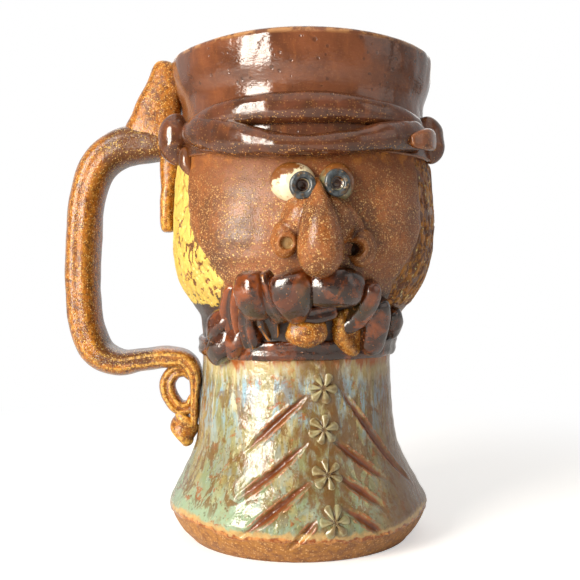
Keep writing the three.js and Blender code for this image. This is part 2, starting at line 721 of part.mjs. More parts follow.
function addEyes() {
  const level = NECK_LEVEL + EYE_RISE;
  const radius = wallRadius(level, FACE_ANGLE);
  const turn = THREE.MathUtils.radToDeg(EYE_SPACING / 2 / radius);
  for (const { side, way, squeeze, look, drop } of EYE_SIDES) {
    const angle = FACE_ANGLE + way * turn;
    const half = [EYE_HALF_WIDTH * squeeze, EYE_HALF_HEIGHT, EYE_HALF_DEPTH];
    lute("eye_" + side, "cream", (grow) => wallBall(
      angle, level, EYE_LIFT, half.map((size) => size + grow), { around: 14, rings: 8 },
    ));
    lute("iris_" + side, "slate", (grow) => {
      const cord = IRIS_CORD_RADIUS + grow;
      const section = [];
      for (let i = 0; i <= CORD_CORNERS; i += 1) {
        const round = (Math.PI * 2 * i) / CORD_CORNERS;
        section.push([IRIS_RADIUS + cord * Math.cos(round), cord * Math.sin(round)]);
      }
      const middle = offWall(angle, level - drop * EYE_HALF_HEIGHT, EYE_HALF_DEPTH + EYE_LIFT);
      const sideways = new THREE.Vector3().crossVectors(new THREE.Vector3(0, 0, 1), bearing(angle));
      middle.addScaledVector(sideways, look * EYE_HALF_WIDTH);
      return revolve(section, 14)
        .rotateX(Math.PI / 2)
        .rotateZ(THREE.MathUtils.degToRad(angle))
        .translate(middle.x, middle.y, middle.z);
    });
  }
}

// Nose: a bulb drawn up to a thin bridge between the eyes, with a wing and nostril each side
const NOSE_WIDTH_SWELLS = [0.3, 0.42, 0.66, 0.92, 1.08, 1.02];
const NOSE_DEPTH_SWELLS = [0.5, 0.62, 0.85, 1.02, 1.12, 1];
const BRIDGE_RISE = 1.5;
const BRIDGE_LIFT = 2;
const WING_SIDES = [
  { side: "left", way: -1, drop: -0.18, nostrilTurn: 1.2 },
  { side: "right", way: 1, drop: 0.25, nostrilTurn: 4 },
];
const WING_TUCK = 0.83;
const WING_TURN = 2.8;

function addNose() {
  const level = NECK_LEVEL + NOSE_RISE;
  const bridge = NECK_LEVEL + EYE_RISE + BRIDGE_RISE;
  const half = NOSE_HALF_WIDTH;
  lute("nose", "speckled", (grow) => wallRoll(
    [
      [FACE_ANGLE - 0.6, bridge, BRIDGE_LIFT],
      [FACE_ANGLE, mix(level, bridge, 0.62), NOSE_REACH - half * 1.6],
      [FACE_ANGLE, mix(level, bridge, 0.22), NOSE_REACH - half * 1.15],
      [FACE_ANGLE + 0.6, level - half * 0.35, NOSE_REACH - half * 1.15],
      [FACE_ANGLE + 0.8, level - half * 1.3, NOSE_REACH - half * 1.7],
    ],
    {
      widths: scaled(NOSE_WIDTH_SWELLS, half),
      depths: scaled(NOSE_DEPTH_SWELLS, half),
      around: 12,
      rings: 12,
      blunt: 2.3,
      grow,
    },
  ));
  const apart = half + WING_HALF_WIDTH * WING_TUCK;
  const spread = THREE.MathUtils.radToDeg(apart / wallRadius(level, FACE_ANGLE));
  for (const { side, way, drop, nostrilTurn } of WING_SIDES) {
    const angle = FACE_ANGLE + WING_TURN + way * spread;
    const height = level - drop * WING_HALF_HEIGHT;
    const wing = [WING_HALF_WIDTH, WING_HALF_HEIGHT, WING_HALF_DEPTH];
    lute("nose_wing_" + side, "speckled", (grow) => wallBall(
      angle, height, WING_LIFT, wing.map((size) => size + grow), { around: 12, rings: 8 },
    ));
    const mouth = offWall(angle - way * nostrilTurn, height, WING_HALF_DEPTH + WING_LIFT);
    const bore = new THREE.CylinderGeometry(NOSTRIL_RADIUS, NOSTRIL_RADIUS * 0.7, WING_HALF_DEPTH * 1.6, 10)
      .rotateZ(THREE.MathUtils.degToRad(angle))
      .translate(mouth.x, mouth.y, mouth.z);
    const piece = pieces.at(-1);
    piece.solid = biggestBody(piece.solid.subtract(solidOf(bore)));
  }
}

// Folds of the moustache, the lips and the tufts of the beard, from the face's middle outwards.
// A line's places are the angle from where the face looks, the rise from the middle of the mouth
// in shares of its height above the collar, and the lift in shares of a usual fold's half depth.
// Widths and depths are shares of a usual fold's half sizes, at even steps along the line.
const FOLD_HALF_WIDTH = 4;
const FOLD_HALF_DEPTH = 4.5;
const FOLDS = [
  {
    name: "lip_lower",
    glaze: "amber",
    line: [[-9.2, -0.29, 0.53], [-1, -0.34, 0.76], [7, -0.29, 0.53]],
    widths: [0.8, 1.05, 0.85],
    depths: [0.98, 1.11, 0.98],
  },
  {
    name: "lip_upper",
    glaze: "treacle",
    line: [[-7.4, 0.19, 0.44], [-1, 0.01, 0.58], [11.4, 0.19, 0.44]],
    widths: [0.6, 0.8, 0.65],
    depths: [0.89, 1.02, 0.89],
  },
  {
    name: "moustache_left_1",
    glaze: "treacle",
    line: [[-9, 1.03, 0.49], [-7.6, 0.57, 0.71], [-5.2, -0.01, 0.44]],
    widths: [1.55, 1.65, 1.35, 0.9],
    depths: [1.11, 1.29, 1.11],
  },
  {
    name: "moustache_left_2",
    glaze: "treacle",
    line: [[-19.4, 0.96, 0.36], [-17.4, 0.5, 0.58], [-12.6, -0.04, 0.4]],
    widths: [0.55, 0.7, 0.6],
    depths: [0.93, 1.11, 0.93],
  },
  {
    name: "moustache_left_3",
    glaze: "treacle",
    line: [[-24.4, 0.94, 0.31], [-24, 0.53, 0.58], [-22.8, 0.06, 0.36]],
    widths: [0.95, 1.18, 1.05],
    depths: [0.98, 1.2, 0.98],
  },
  {
    name: "moustache_left_4",
    glaze: "treacle",
    line: [[-22.4, 0.27, 0.31], [-20.4, -0.1, 0.49], [-18.6, -0.49, 0.4]],
    widths: [0.65, 0.82, 0.7],
    depths: [0.71, 0.84, 0.71],
  },
  {
    name: "moustache_left_5",
    glaze: "treacle",
    line: [[-28.6, 0.44, 0.31], [-28.6, -0.07, 0.44], [-28.4, -0.7, 0.36]],
    widths: [0.55, 0.68, 0.65],
    depths: [0.8, 0.93, 0.84],
  },
  {
    name: "moustache_left_6",
    glaze: "amber",
    line: [[-33.6, 0.61, 0.18], [-37.2, 0.14, 0.4], [-37.8, -0.44, 0.36]],
    widths: [0.75, 0.93, 0.65],
    depths: [0.71, 0.89, 0.8],
  },
  {
    name: "moustache_right_1",
    glaze: "treacle",
    line: [[-1.4, 0.53, 0.49], [8, 0.69, 0.67], [19, 0.61, 0.44]],
    widths: [1.3, 1.45, 1.35],
    depths: [1.11, 1.24, 1.07],
  },
  {
    name: "moustache_right_2",
    glaze: "treacle",
    line: [[22.4, 0.79, 0.44], [23.8, 0.33, 0.67], [22, -0.07, 0.58], [16.6, -0.27, 0.44]],
    widths: [0.7, 0.82, 0.78, 0.6],
    depths: [1.02, 1.11, 0.89, 0.76],
  },
  {
    name: "moustache_right_3",
    glaze: "amber",
    line: [[15.6, 0.1, 0.22], [21, -0.39, 0.31], [31.4, -0.79, 0.22]],
    widths: [0.6, 1.05, 1],
    depths: [0.58, 0.67, 0.58],
  },
  {
    name: "moustache_right_4",
    glaze: "treacle",
    line: [[31.2, 0.37, 0.4], [34.8, -0.17, 0.58], [37.4, -0.87, 0.44]],
    widths: [0.95, 1.07, 1.1, 0.95],
    depths: [1.02, 1.16, 0.98],
  },
  {
    name: "beard_left_1",
    glaze: "treacle",
    line: [[-41, -0.01, 0.22], [-49.6, -0.21, 0.4], [-58.6, -0.51, 0.22]],
    widths: [0.75, 1.05, 0.95],
    depths: [0.84, 0.98, 0.84],
  },
  {
    name: "beard_left_2",
    glaze: "treacle",
    line: [[-41.4, -0.37, 0.22], [-48.8, -0.69, 0.44], [-57.4, -1.06, 0.27]],
    widths: [0.8, 1.05, 1],
    depths: [0.8, 0.98, 0.84],
  },
  {
    name: "beard_left_3",
    glaze: "treacle",
    line: [[-36, -0.23, 0.18], [-40, -0.53, 0.4], [-43.6, -0.91, 0.27]],
    widths: [0.75, 0.93, 0.75],
    depths: [0.67, 0.84, 0.71],
  },
  {
    name: "beard_right_1",
    glaze: "treacle",
    line: [[48, 0.1, 0.13], [52.6, -0.19, 0.36], [58.4, -0.53, 0.22]],
    widths: [0.65, 0.82, 0.65],
    depths: [0.76, 0.89, 0.76],
  },
];

function addFolds() {
  for (const { name, glaze, line, widths, depths } of FOLDS) {
    const places = line.map(([angle, rise, lift]) => [
      FACE_ANGLE + angle, MOUTH_LEVEL + rise * MOUTH_RISE, lift * FOLD_HALF_DEPTH,
    ]);
    lute(name, glaze, (grow) => wallRoll(places, {
      widths: scaled(widths, FOLD_HALF_WIDTH),
      depths: scaled(depths, FOLD_HALF_DEPTH),
      around: 8,
      rings: 6,
      blunt: 3.6,
      grow,
    }));
  }
}

// A button: a low dome whose every second spoke is pressed down, which leaves its petals
function rosette(radius, height, grow) {
  const spokes = BUTTON_PETALS * 2;
  const profile = [[0, 0], [1, 0], [1, 0.55], [0.62, 1], [0.24, 0.7], [0, 0.78]];
  const form = new THREE.LatheGeometry(profile.map(([r, h]) => new THREE.Vector2(r, h)), spokes);
  return reshape(form, (point) => {
    const ring = Math.hypot(point.x, point.z);
    const spoke = Math.round((Math.atan2(point.x, point.z) * spokes) / (Math.PI * 2));
    const pressed = Math.abs(spoke) % 2 === 1 && ring > 0.1;
    const reach = ((pressed ? 0.9 : 1) * ring * (radius + grow)) / Math.max(ring, MERGE_DISTANCE);
    const rise = SEAM_GAP + point.y * height * (pressed ? 0.55 : 1) + grow;
    return new THREE.Vector3(point.x * reach, -point.z * reach, point.y > 0 ? rise : -ROOT_DEPTH);
  });
}

function addButtons() {
  BUTTON_LEVELS.forEach((level, i) => {
    lute("button_" + (i + 1), "celadon", (grow) => wrapped(
      rosette(BUTTON_RADIUS, BUTTON_HEIGHT, grow), BUTTON_ANGLE, level,
    ));
  });
}

addBody();
addHair();
addCollar();
addCap();
addHandle();
addEyes();
addNose();
addFolds();
addButtons();

// Every piece as a mesh with its glaze, moved sideways as its height on the leaning wall asks
const mug = new THREE.Group();
for (const { name, glaze, solid } of pieces) {
  const data = solid.getMesh();
  const geometry = new THREE.BufferGeometry();
  geometry.setAttribute("position", new THREE.BufferAttribute(new Float32Array(data.vertProperties), 3));
  geometry.setIndex(new THREE.BufferAttribute(new Uint32Array(data.triVerts), 1));
  reshape(geometry, (point) => point.setX(point.x + along(WANDER, point.z / RIM_LEVEL)));
  geometry.computeVertexNormals();
  const mesh = new THREE.Mesh(geometry, new THREE.MeshStandardMaterial({ ...GLAZES[glaze], metalness: 0 }));
  mesh.name = name;
  mug.add(mesh);
}

export default mug;
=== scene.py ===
"""Looks of a handmade stoneware face mug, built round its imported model.

The vessel is spun from one profile, as on a wheel, and everything that is luted onto it starts
as a ball, a ring or a grid that is laid along the wall. Lengths in the modelling code are
millimetres and angles are degrees round the mug, 0 where the face looks (-Y) and positive
towards +X. A piece is brought to metres when it is finished.
"""

import math

import bpy
import numpy as np
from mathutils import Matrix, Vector, noise


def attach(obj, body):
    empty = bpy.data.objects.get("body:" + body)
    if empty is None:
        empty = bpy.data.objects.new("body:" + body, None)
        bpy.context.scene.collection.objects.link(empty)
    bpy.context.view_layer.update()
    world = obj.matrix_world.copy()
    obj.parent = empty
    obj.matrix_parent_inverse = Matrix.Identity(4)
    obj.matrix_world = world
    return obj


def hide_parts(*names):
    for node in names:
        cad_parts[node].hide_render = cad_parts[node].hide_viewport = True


bl_info = {
    "name": "Stoneware Face Mug",
    "version": (1, 0, 0),
    "blender": (4, 5, 0),
    "location": "View3D > Sidebar > Face Mug",
    "description": "Models and glazes a face mug with a flat cap, piece by piece",
    "category": "Object",
}

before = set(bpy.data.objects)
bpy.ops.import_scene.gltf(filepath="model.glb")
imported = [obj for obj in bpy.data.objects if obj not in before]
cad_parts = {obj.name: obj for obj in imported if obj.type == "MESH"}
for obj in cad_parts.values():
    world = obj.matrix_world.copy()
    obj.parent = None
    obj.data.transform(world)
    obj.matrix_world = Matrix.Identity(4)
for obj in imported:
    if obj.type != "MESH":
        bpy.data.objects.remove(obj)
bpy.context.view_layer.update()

MM = 0.001

# The thrown wall, as in the part's source
FOOT_RADIUS = 38
FLARE_RADIUS = 44.4
FLARE_LEVEL = 11.5
WAIST_RADIUS = 32.5
NECK_LEVEL = 62
HEAD_RADIUS = 44.6
BROW_LEVEL = 128
BROW_RADIUS = 43.2
CAP_WAIST_RADIUS = 41.8
RIM_RADIUS = 45.2
RIM_LEVEL = 163.3
WALL = 4.6
FOOT_WALL = 8
FLOOR = 6.5
WANDER = [-0.9, -1.5, -2.1, -1.9, -0.3, 0.5, 0.6, 0.2, -0.1]
CHEST_CURVE = [(0.1, 0.21), (0.21, 0.45), (0.38, 0.765), (0.66, 0.94)]
JAW_CURVE = [(0.09, 0.04), (0.2, 0.17), (0.28, 0.46), (0.38, 0.79), (0.54, 0.985), (0.82, 0.98)]
CAP_FALL = 0.52
CAP_CURVE = [(0.7, 0.6), (0.86, 0.93)]
FACE_ANGLE = 5
CHEEK_PUSH = 2
CHEEK_SPREAD = 13
CHEEK_ANGLE = 37
CHEEK_RISE = 41

# Where things sit on it
HAIR_LOW_LEVEL = 78.5
HAIR_EDGE_LEFT = [-44, -34, -41, -50, -54, -56, -57]
HAIR_EDGE_RIGHT = [46, 42, 48, 53, 54, 54, 54]
BAND_LEFT = -66
BAND_RIGHT = 72
EYE_LEVEL = 116.7
NOSE_LEVEL = 98.5
BUTTON_ANGLE = 14.8
BUTTON_LEVELS = [53.2, 40.4, 26.9, 13.8]
HANDLE_REACH = 77.9
HANDLE_TOP_LEVEL = 135
HANDLE_LOW_LEVEL = 58.3
GLAZE_EDGE = [
    (-180, 8.5), (-90, 9.8), (-47, 9.6), (-27, 7.5), (5, 7.7), (37, 6.5), (66, 9.8), (180, 8.5),
]


def linear(code):
    """A colour written as six hex digits, in the linear values that Blender keeps."""
    channels = [int(code[i : i + 2], 16) / 255 for i in (0, 2, 4)]
    return [c / 12.92 if c <= 0.04045 else ((c + 0.055) / 1.055) ** 2.4 for c in channels]


def colour(name, text, code):
    return bpy.props.FloatVectorProperty(
        name=name, description=text, subtype="COLOR", size=3, min=0, max=1, default=linear(code)
    )


def length(name, text, millimetres, most):
    return bpy.props.FloatProperty(
        name=name, description=text, unit="LENGTH", min=0, max=most * MM, default=millimetres * MM
    )


class MugGlazes(bpy.types.PropertyGroup):
    """Colours of the clay and of each glaze."""

    cap: colour("Cap", "Glossy brown on the crown of the cap", "794528")
    cap_shade: colour("Cap shade", "Brown where the cap's glaze is thick", "57301b")
    face: colour("Face", "Speckled brown on the face", "965729")
    face_shade: colour("Face shade", "Darker brown between the speckles", "643a1d")
    fleck: colour("Fleck", "Pale flecks that melt through the glaze", "f2c680")
    rust: colour("Rust", "Iron red where the glaze breaks on an edge", "9c5420")
    straw: colour("Straw", "Yellow slip on the hair", "e4c661")
    # Ochre is partly painted shade on the hair's right side
    ochre: colour("Ochre", "Browner slip on the hair's other side", "b06d1e")
    treacle: colour("Treacle", "Dark, very glossy brown of the moustache", "2a1409")
    treacle_thin: colour("Treacle, thin", "Red brown where that glaze runs thin", "582910")
    amber: colour("Amber", "Orange brown on the handle", "aa6413")
    # Also serves in part as a painted highlight on the handle's edges
    amber_pale: colour("Amber, pale", "Cream that shows through it on edges", "efba58")
    celadon: colour("Celadon", "Grey green on the chest", "84926a")
    sky: colour("Sky", "Milky blue that floats in it", "8db0c2")
    cream: colour("Cream", "Milky white of the eyes and of the chest's pools", "ddd2ac")
    slate: colour("Slate", "Blue grey of the irises", "4b5257")
    clay: colour("Clay", "Bare fired clay of the foot", "ae7737")


class MugClay(bpy.types.PropertyGroup):
    """Heights of the marks that hands and tools leave in the clay."""

    rings: length("Throwing rings", "Height of the rings left by throwing", 0.1, 1)
    skin: length("Face skin", "How far the face stands proud of the hair", 1.2, 3)
    slash: length("Slash depth", "Depth of the cuts beside the buttons", 1.5, 3)
    crust: length("Slash crust", "Height of the crust along the cuts", 0.7, 2)
    comb: length("Hair scratches", "Depth of the scratches in the hair", 0.75, 2)
    dent: length("Dents", "Height of the uneven places in hand-rolled clay", 0.3, 1)


# Wall


def smooth_line(points, count):
    """A smooth line through points, as evenly spaced samples."""
    points = np.asarray(points, float)
    around = np.vstack([2 * points[0] - points[1], points, 2 * points[-1] - points[-2]])
    step = np.linspace(0, 1, 48, endpoint=False)[:, None]
    fine = []
    for before, start, end, after in zip(around, around[1:], around[2:], around[3:]):
        lead, span, trail = (
            max(np.linalg.norm(b - a), 1e-9) ** 0.5
            for a, b in ((before, start), (start, end), (end, after))
        )
        leave = ((start - before) / lead - (end - before) / (lead + span) + (end - start) / span) * span
        arrive = ((end - start) / span - (after - start) / (span + trail) + (after - end) / trail) * span
        fine.append(
            start
            + leave * step
            + (3 * (end - start) - 2 * leave - arrive) * step**2
            + (2 * (start - end) + leave + arrive) * step**3
        )
    fine = np.vstack([*fine, points[-1:]])
    run = np.concatenate([[0], np.cumsum(np.linalg.norm(np.diff(fine, axis=0), axis=1))])
    spots = np.linspace(0, run[-1], count)
    return np.stack([np.interp(spots, run, column) for column in fine.T], axis=1)


def between(low, high, share):
    return low + (high - low) * share


def even(values, share):
    """Values at even steps, read at a share of the way along them."""
    return np.interp(share, np.linspace(0, 1, len(values)), values)


def fade(value, low, high):
    """A soft step from 0 at low to 1 at high."""
    share = np.clip((value - low) / (high - low), 0, 1)
    return share * share * (3 - 2 * share)


def wall_stations():
    yield FOOT_RADIUS, 0
    yield between(FOOT_RADIUS, FLARE_RADIUS, 0.68), FLARE_LEVEL * 0.45
    yield FLARE_RADIUS, FLARE_LEVEL
    for climb, change in CHEST_CURVE:
        yield between(FLARE_RADIUS, WAIST_RADIUS, change), between(FLARE_LEVEL, NECK_LEVEL, climb)
    yield WAIST_RADIUS, NECK_LEVEL
    for climb, change in JAW_CURVE:
        yield between(WAIST_RADIUS, HEAD_RADIUS, change), between(NECK_LEVEL, BROW_LEVEL, climb)
    yield BROW_RADIUS, BROW_LEVEL
    yield CAP_WAIST_RADIUS, between(BROW_LEVEL, RIM_LEVEL, CAP_FALL)
    for climb, change in CAP_CURVE:
        yield between(CAP_WAIST_RADIUS, RIM_RADIUS, change), between(BROW_LEVEL, RIM_LEVEL, climb)
    yield RIM_RADIUS, RIM_LEVEL


WALL_LINE = smooth_line(list(wall_stations()), 400)


def thrown(level):
    """Radius of the plain thrown wall at a height."""
    return np.interp(level, WALL_LINE[:, 1], WALL_LINE[:, 0])


def cheeks(angle, level):
    push = 0
    for side in (-1, 1):
        away = np.radians(angle - FACE_ANGLE - side * CHEEK_ANGLE) * HEAD_RADIUS
        up = level - NECK_LEVEL - CHEEK_RISE
        push = push + CHEEK_PUSH * np.exp(-(away**2 + up**2) / CHEEK_SPREAD**2)
    return push


def wall_radius(angle, level):
    return thrown(level) + cheeks(angle, level)


def round_mug(turn, radius, level):
    """Points at a turn in radians and a distance from the mug's axis."""
    return np.stack([np.sin(turn) * radius, -np.cos(turn) * radius, level], axis=-1)


def off_wall(angle, level, lift=0):
    """Points that stand off the wall by a lift."""
    angle, level, lift = np.broadcast_arrays(*(np.asarray(v, float) for v in (angle, level, lift)))
    return round_mug(np.radians(angle), wall_radius(angle, level) + lift, level)


def angle_of(points):
    return np.degrees(np.arctan2(points[:, 0], -points[:, 1]))


def across_and_out(angle):
    """The level directions along the wall and out of it at an angle."""
    turn = math.radians(angle)
    return np.array([math.cos(turn), math.sin(turn), 0]), np.array([math.sin(turn), -math.cos(turn), 0])


def hair_edges(level):
    """The angles of the face's two borders at a height."""
    up = (level - HAIR_LOW_LEVEL) / (BROW_LEVEL - HAIR_LOW_LEVEL)
    return even(HAIR_EDGE_LEFT, up), even(HAIR_EDGE_RIGHT, up)


# Shaping


def deselect():
    for other in bpy.context.selected_objects:
        other.select_set(False)


def pick(piece):
    deselect()
    piece.select_set(True)
    bpy.context.view_layer.objects.active = piece


def named(name):
    piece = bpy.context.object
    piece.name = piece.data.name = name
    return piece


def ball(name, around, rings):
    deselect()
    bpy.ops.mesh.primitive_uv_sphere_add(segments=around, ring_count=rings, radius=1)
    return named(name)


def grid(name, columns, rows):
    """A flat grid, with each point's share of the way across and up."""
    deselect()
    bpy.ops.mesh.primitive_grid_add(x_subdivisions=columns, y_subdivisions=rows, size=2)
    slab = named(name)
    across, up = (points_of(slab)[:, :2].T + 1) / 2
    return slab, across, up


def points_of(piece):
    flat = np.empty(len(piece.data.vertices) * 3)
    piece.data.vertices.foreach_get("co", flat)
    return flat.reshape(-1, 3)


def put_points(piece, points):
    piece.data.vertices.foreach_set("co", np.asarray(points, float).ravel())
    piece.data.update()


def normals_of(piece):
    flat = np.empty(len(piece.data.vertices) * 3)
    piece.data.vertex_normals.foreach_get("vector", flat)
    return flat.reshape(-1, 3)


def select_faces(piece, chosen):
    """Selects, in edit mode, the faces whose centres pass a test."""
    pick(piece)
    bpy.ops.object.mode_set(mode="EDIT")
    bpy.ops.mesh.select_mode(type="FACE")
    bpy.ops.mesh.select_all(action="DESELECT")
    bpy.ops.object.mode_set(mode="OBJECT")
    centres = np.empty(len(piece.data.polygons) * 3)
    piece.data.polygons.foreach_get("center", centres)
    piece.data.polygons.foreach_set("select", chosen(centres.reshape(-1, 3)))
    bpy.ops.object.mode_set(mode="EDIT")


def ripple(points, size, seed=0):
    """Soft noise of about -1 to 1, whose bumps are some millimetres across."""
    scaled = np.asarray(points) / size + np.array([seed * 7.3, seed * 3.1, seed * 11.7])
    return np.array([noise.noise(place) for place in scaled.tolist()])


def grain(points, size, octaves=3, seed=0):
    """Several sizes of that noise, each half as high as the last."""
    parts = [ripple(points, size / 2**i, seed + i) / 2**i for i in range(octaves)]
    return sum(parts)


def swell(piece, lifts):
    """Moves each point out along the surface by its own lift."""
    put_points(piece, points_of(piece) + normals_of(piece) * np.asarray(lifts)[:, None])


def refine(piece):
    """Divides each face in four and smooths them."""
    pick(piece)
    smoother = piece.modifiers.new("Smooth clay", "SUBSURF")
    smoother.levels = smoother.render_levels = 1
    bpy.ops.object.modifier_apply(modifier=smoother.name)


def thicken(slab, thickness):
    """Gives a grid its thickness, towards the wall."""
    pick(slab)
    wall = slab.modifiers.new("Slab", "SOLIDIFY")
    wall.thickness = thickness
    wall.offset = -1
    bpy.ops.object.modifier_apply(modifier=wall.name)


def out_of_wall(middle, tangent=None):
    flat = middle * np.array([1, 1, 0])
    return flat / np.linalg.norm(flat, axis=1)[:, None]


def out_of_loop(middle, tangent):
    """Away from the hollow of a loop that stands in the handle's plane."""
    return np.cross(tangent, np.array([0, 1, 0]))


def lay_roll(
    piece, path, widths, depths, facing=out_of_wall,
    blunt=2.4, square=2.0, hollow=0, lean=0, channel=0, furrow=0,
):
    """Lays a ball's rings along a path, so that its poles become the two ends of a roll.

    Widths and depths are half sizes at even steps, square flattens the sides, hollow is how far
    the low end is pressed in, as a share of the path, lean turns the roll round its own path in
    degrees, channel is how deep its front is pressed in between its two edges, and furrow is the
    same for its two sides.
    """
    ring_points = points_of(piece)
    along = np.clip((1 - ring_points[:, 2]) / 2, 0, 1)
    taper = (1 - np.abs(ring_points[:, 2]) ** blunt).clip(0) ** (1 / blunt)
    if hollow:
        inward = fade(-ring_points[:, 2], 0.965, 1)
        along = along - hollow * inward
        taper = np.where(inward > 0, np.maximum(taper, 0.72) * (1 - inward) ** 0.5, taper)
    steps = np.linspace(0, 1, len(path))
    slope = np.gradient(path, axis=0)
    slope /= np.linalg.norm(slope, axis=1)[:, None]
    middle = np.stack([np.interp(along, steps, c) for c in path.T], axis=1)
    tangent = np.stack([np.interp(along, steps, c) for c in slope.T], axis=1)
    tangent /= np.linalg.norm(tangent, axis=1)[:, None]
    out = facing(middle, tangent)
    out = out - tangent * (out * tangent).sum(axis=1)[:, None]
    out /= np.linalg.norm(out, axis=1)[:, None]
    across = np.cross(out, tangent)
    cos, sin = math.cos(math.radians(lean)), math.sin(math.radians(lean))
    out, across = out * cos + across * sin, across * cos - out * sin
    around = np.arctan2(ring_points[:, 1], ring_points[:, 0])
    side, front = np.cos(around), np.sin(around)
    corner = (np.abs(side) ** square + np.abs(front) ** square) ** (-1 / square)
    wide = side * corner * taper * even(widths, along)
    wide = wide * (1 - furrow * np.exp(-((front * corner / 0.32) ** 2)))
    deep = front * corner * taper * even(depths, along)
    deep = deep * (1 - channel * (front > 0) * np.exp(-((side * corner / 0.5) ** 2)))
    put_points(piece, middle + across * wide[:, None] + out * deep[:, None])
    tidy_faces(piece)
    return piece


def tidy_faces(piece):
    """Merges what the shaping brought together and turns every face outwards."""
    pick(piece)
    bpy.ops.object.mode_set(mode="EDIT")
    bpy.ops.mesh.select_all(action="SELECT")
    bpy.ops.mesh.remove_doubles(threshold=1e-4)
    bpy.ops.mesh.normals_make_consistent(inside=False)
    bpy.ops.object.mode_set(mode="OBJECT")


def wall_path(places):
    """A smooth line through places, each as (angle, level, lift)."""
    return smooth_line(off_wall(*np.array(places, float).T), 160)


def beside(angle, places):
    return [(angle + turn, level, lift) for turn, level, lift in places]


def lay_slab(slab, angle, level, lift):
    """Lays a grid on the wall, with its faces turned outwards."""
    put_points(slab, off_wall(angle, level, lift))
    if (normals_of(slab) * out_of_wall(points_of(slab))).sum() < 0:
        slab.data.flip_normals()
    return slab


def press_ball(piece, angle, level, lift, half):
    """Presses a ball onto the wall, with half sizes across, up and out."""
    points = points_of(piece)
    across, out = across_and_out(angle)
    middle = off_wall(angle, level, lift)
    placed = middle + across * points[:, :1] * half[0] - out * points[:, 1:2] * half[2]
    placed[:, 2] += points[:, 2] * half[1]
    put_points(piece, placed)
    tidy_faces(piece)
    return piece


def set_mark(piece, name, values):
    """Keeps a number for each point, for the glazes to read."""
    mark = piece.data.attributes.get(name) or piece.data.attributes.new(name, "FLOAT", "POINT")
    mark.data.foreach_set("value", np.asarray(values, np.float32))


def spread_mean(values, ends, count):
    """Each point's value blended with its neighbours'."""
    total = values.copy()
    shares = np.ones(count)
    for a, b in ((0, 1), (1, 0)):
        np.add.at(total, ends[:, a], values[ends[:, b]])
        np.add.at(shares, ends[:, a], 1)
    return total / shares


def mark_edges(piece, rounds=2):
    """Marks where a surface is a ridge (above 0) and where it is a crease (below 0)."""
    points, normals = points_of(piece), normals_of(piece)
    ends = np.empty(len(piece.data.edges) * 2, int)
    piece.data.edges.foreach_get("vertices", ends)
    ends = ends.reshape(-1, 2)
    step = points[ends[:, 1]] - points[ends[:, 0]]
    size = (step**2).sum(axis=1).clip(1e-9)
    bend = np.zeros(len(points))
    shares = np.zeros(len(points))
    for a, sign in ((0, -1), (1, 1)):
        np.add.at(bend, ends[:, a], sign * (step * normals[ends[:, a]]).sum(axis=1) / size)
        np.add.at(shares, ends[:, a], 1)
    bend = 2 * bend / shares.clip(1)
    for _ in range(rounds):
        bend = spread_mean(bend, ends, len(points))
    set_mark(piece, "ridge", np.clip(bend, -1, 1))


def fire(piece, slot, material, *nodes, dents=0, seed=0):
    """Finishes a piece: hand-made dents, metres, the wall's lean, its glaze and its place."""
    piece.name = piece.data.name = nodes[0] + "_clay"
    if dents:
        swell(piece, grain(points_of(piece), 9, 2, seed) * dents)
    mark_edges(piece)
    set_mark(piece, "under", normals_of(piece)[:, 2])
    points = points_of(piece)
    lift = np.hypot(points[:, 0], points[:, 1]) - wall_radius(angle_of(points), points[:, 2])
    set_mark(piece, "lift", lift / 10)
    points[:, 0] += even(WANDER, points[:, 2] / RIM_LEVEL)
    put_points(piece, points * MM)
    pick(piece)
    bpy.ops.object.shade_smooth()
    piece.data.materials.clear()
    piece.data.materials.append(material)
    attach(piece, "root")
    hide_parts(*nodes)
    deselect()


def roll(name, around, rings, path, widths, depths, coat, dents, seed, **how):
    """A roll of clay laid along a path and fired, its coat given as its slot and its material. The slot is
    not used.
    """
    piece = ball(name, around, rings)
    lay_roll(piece, path, widths, depths, **how)
    refine(piece)
    fire(piece, *coat, name, dents=dents, seed=seed)


# Glazes

COAT_ROUGHNESS = 0.04


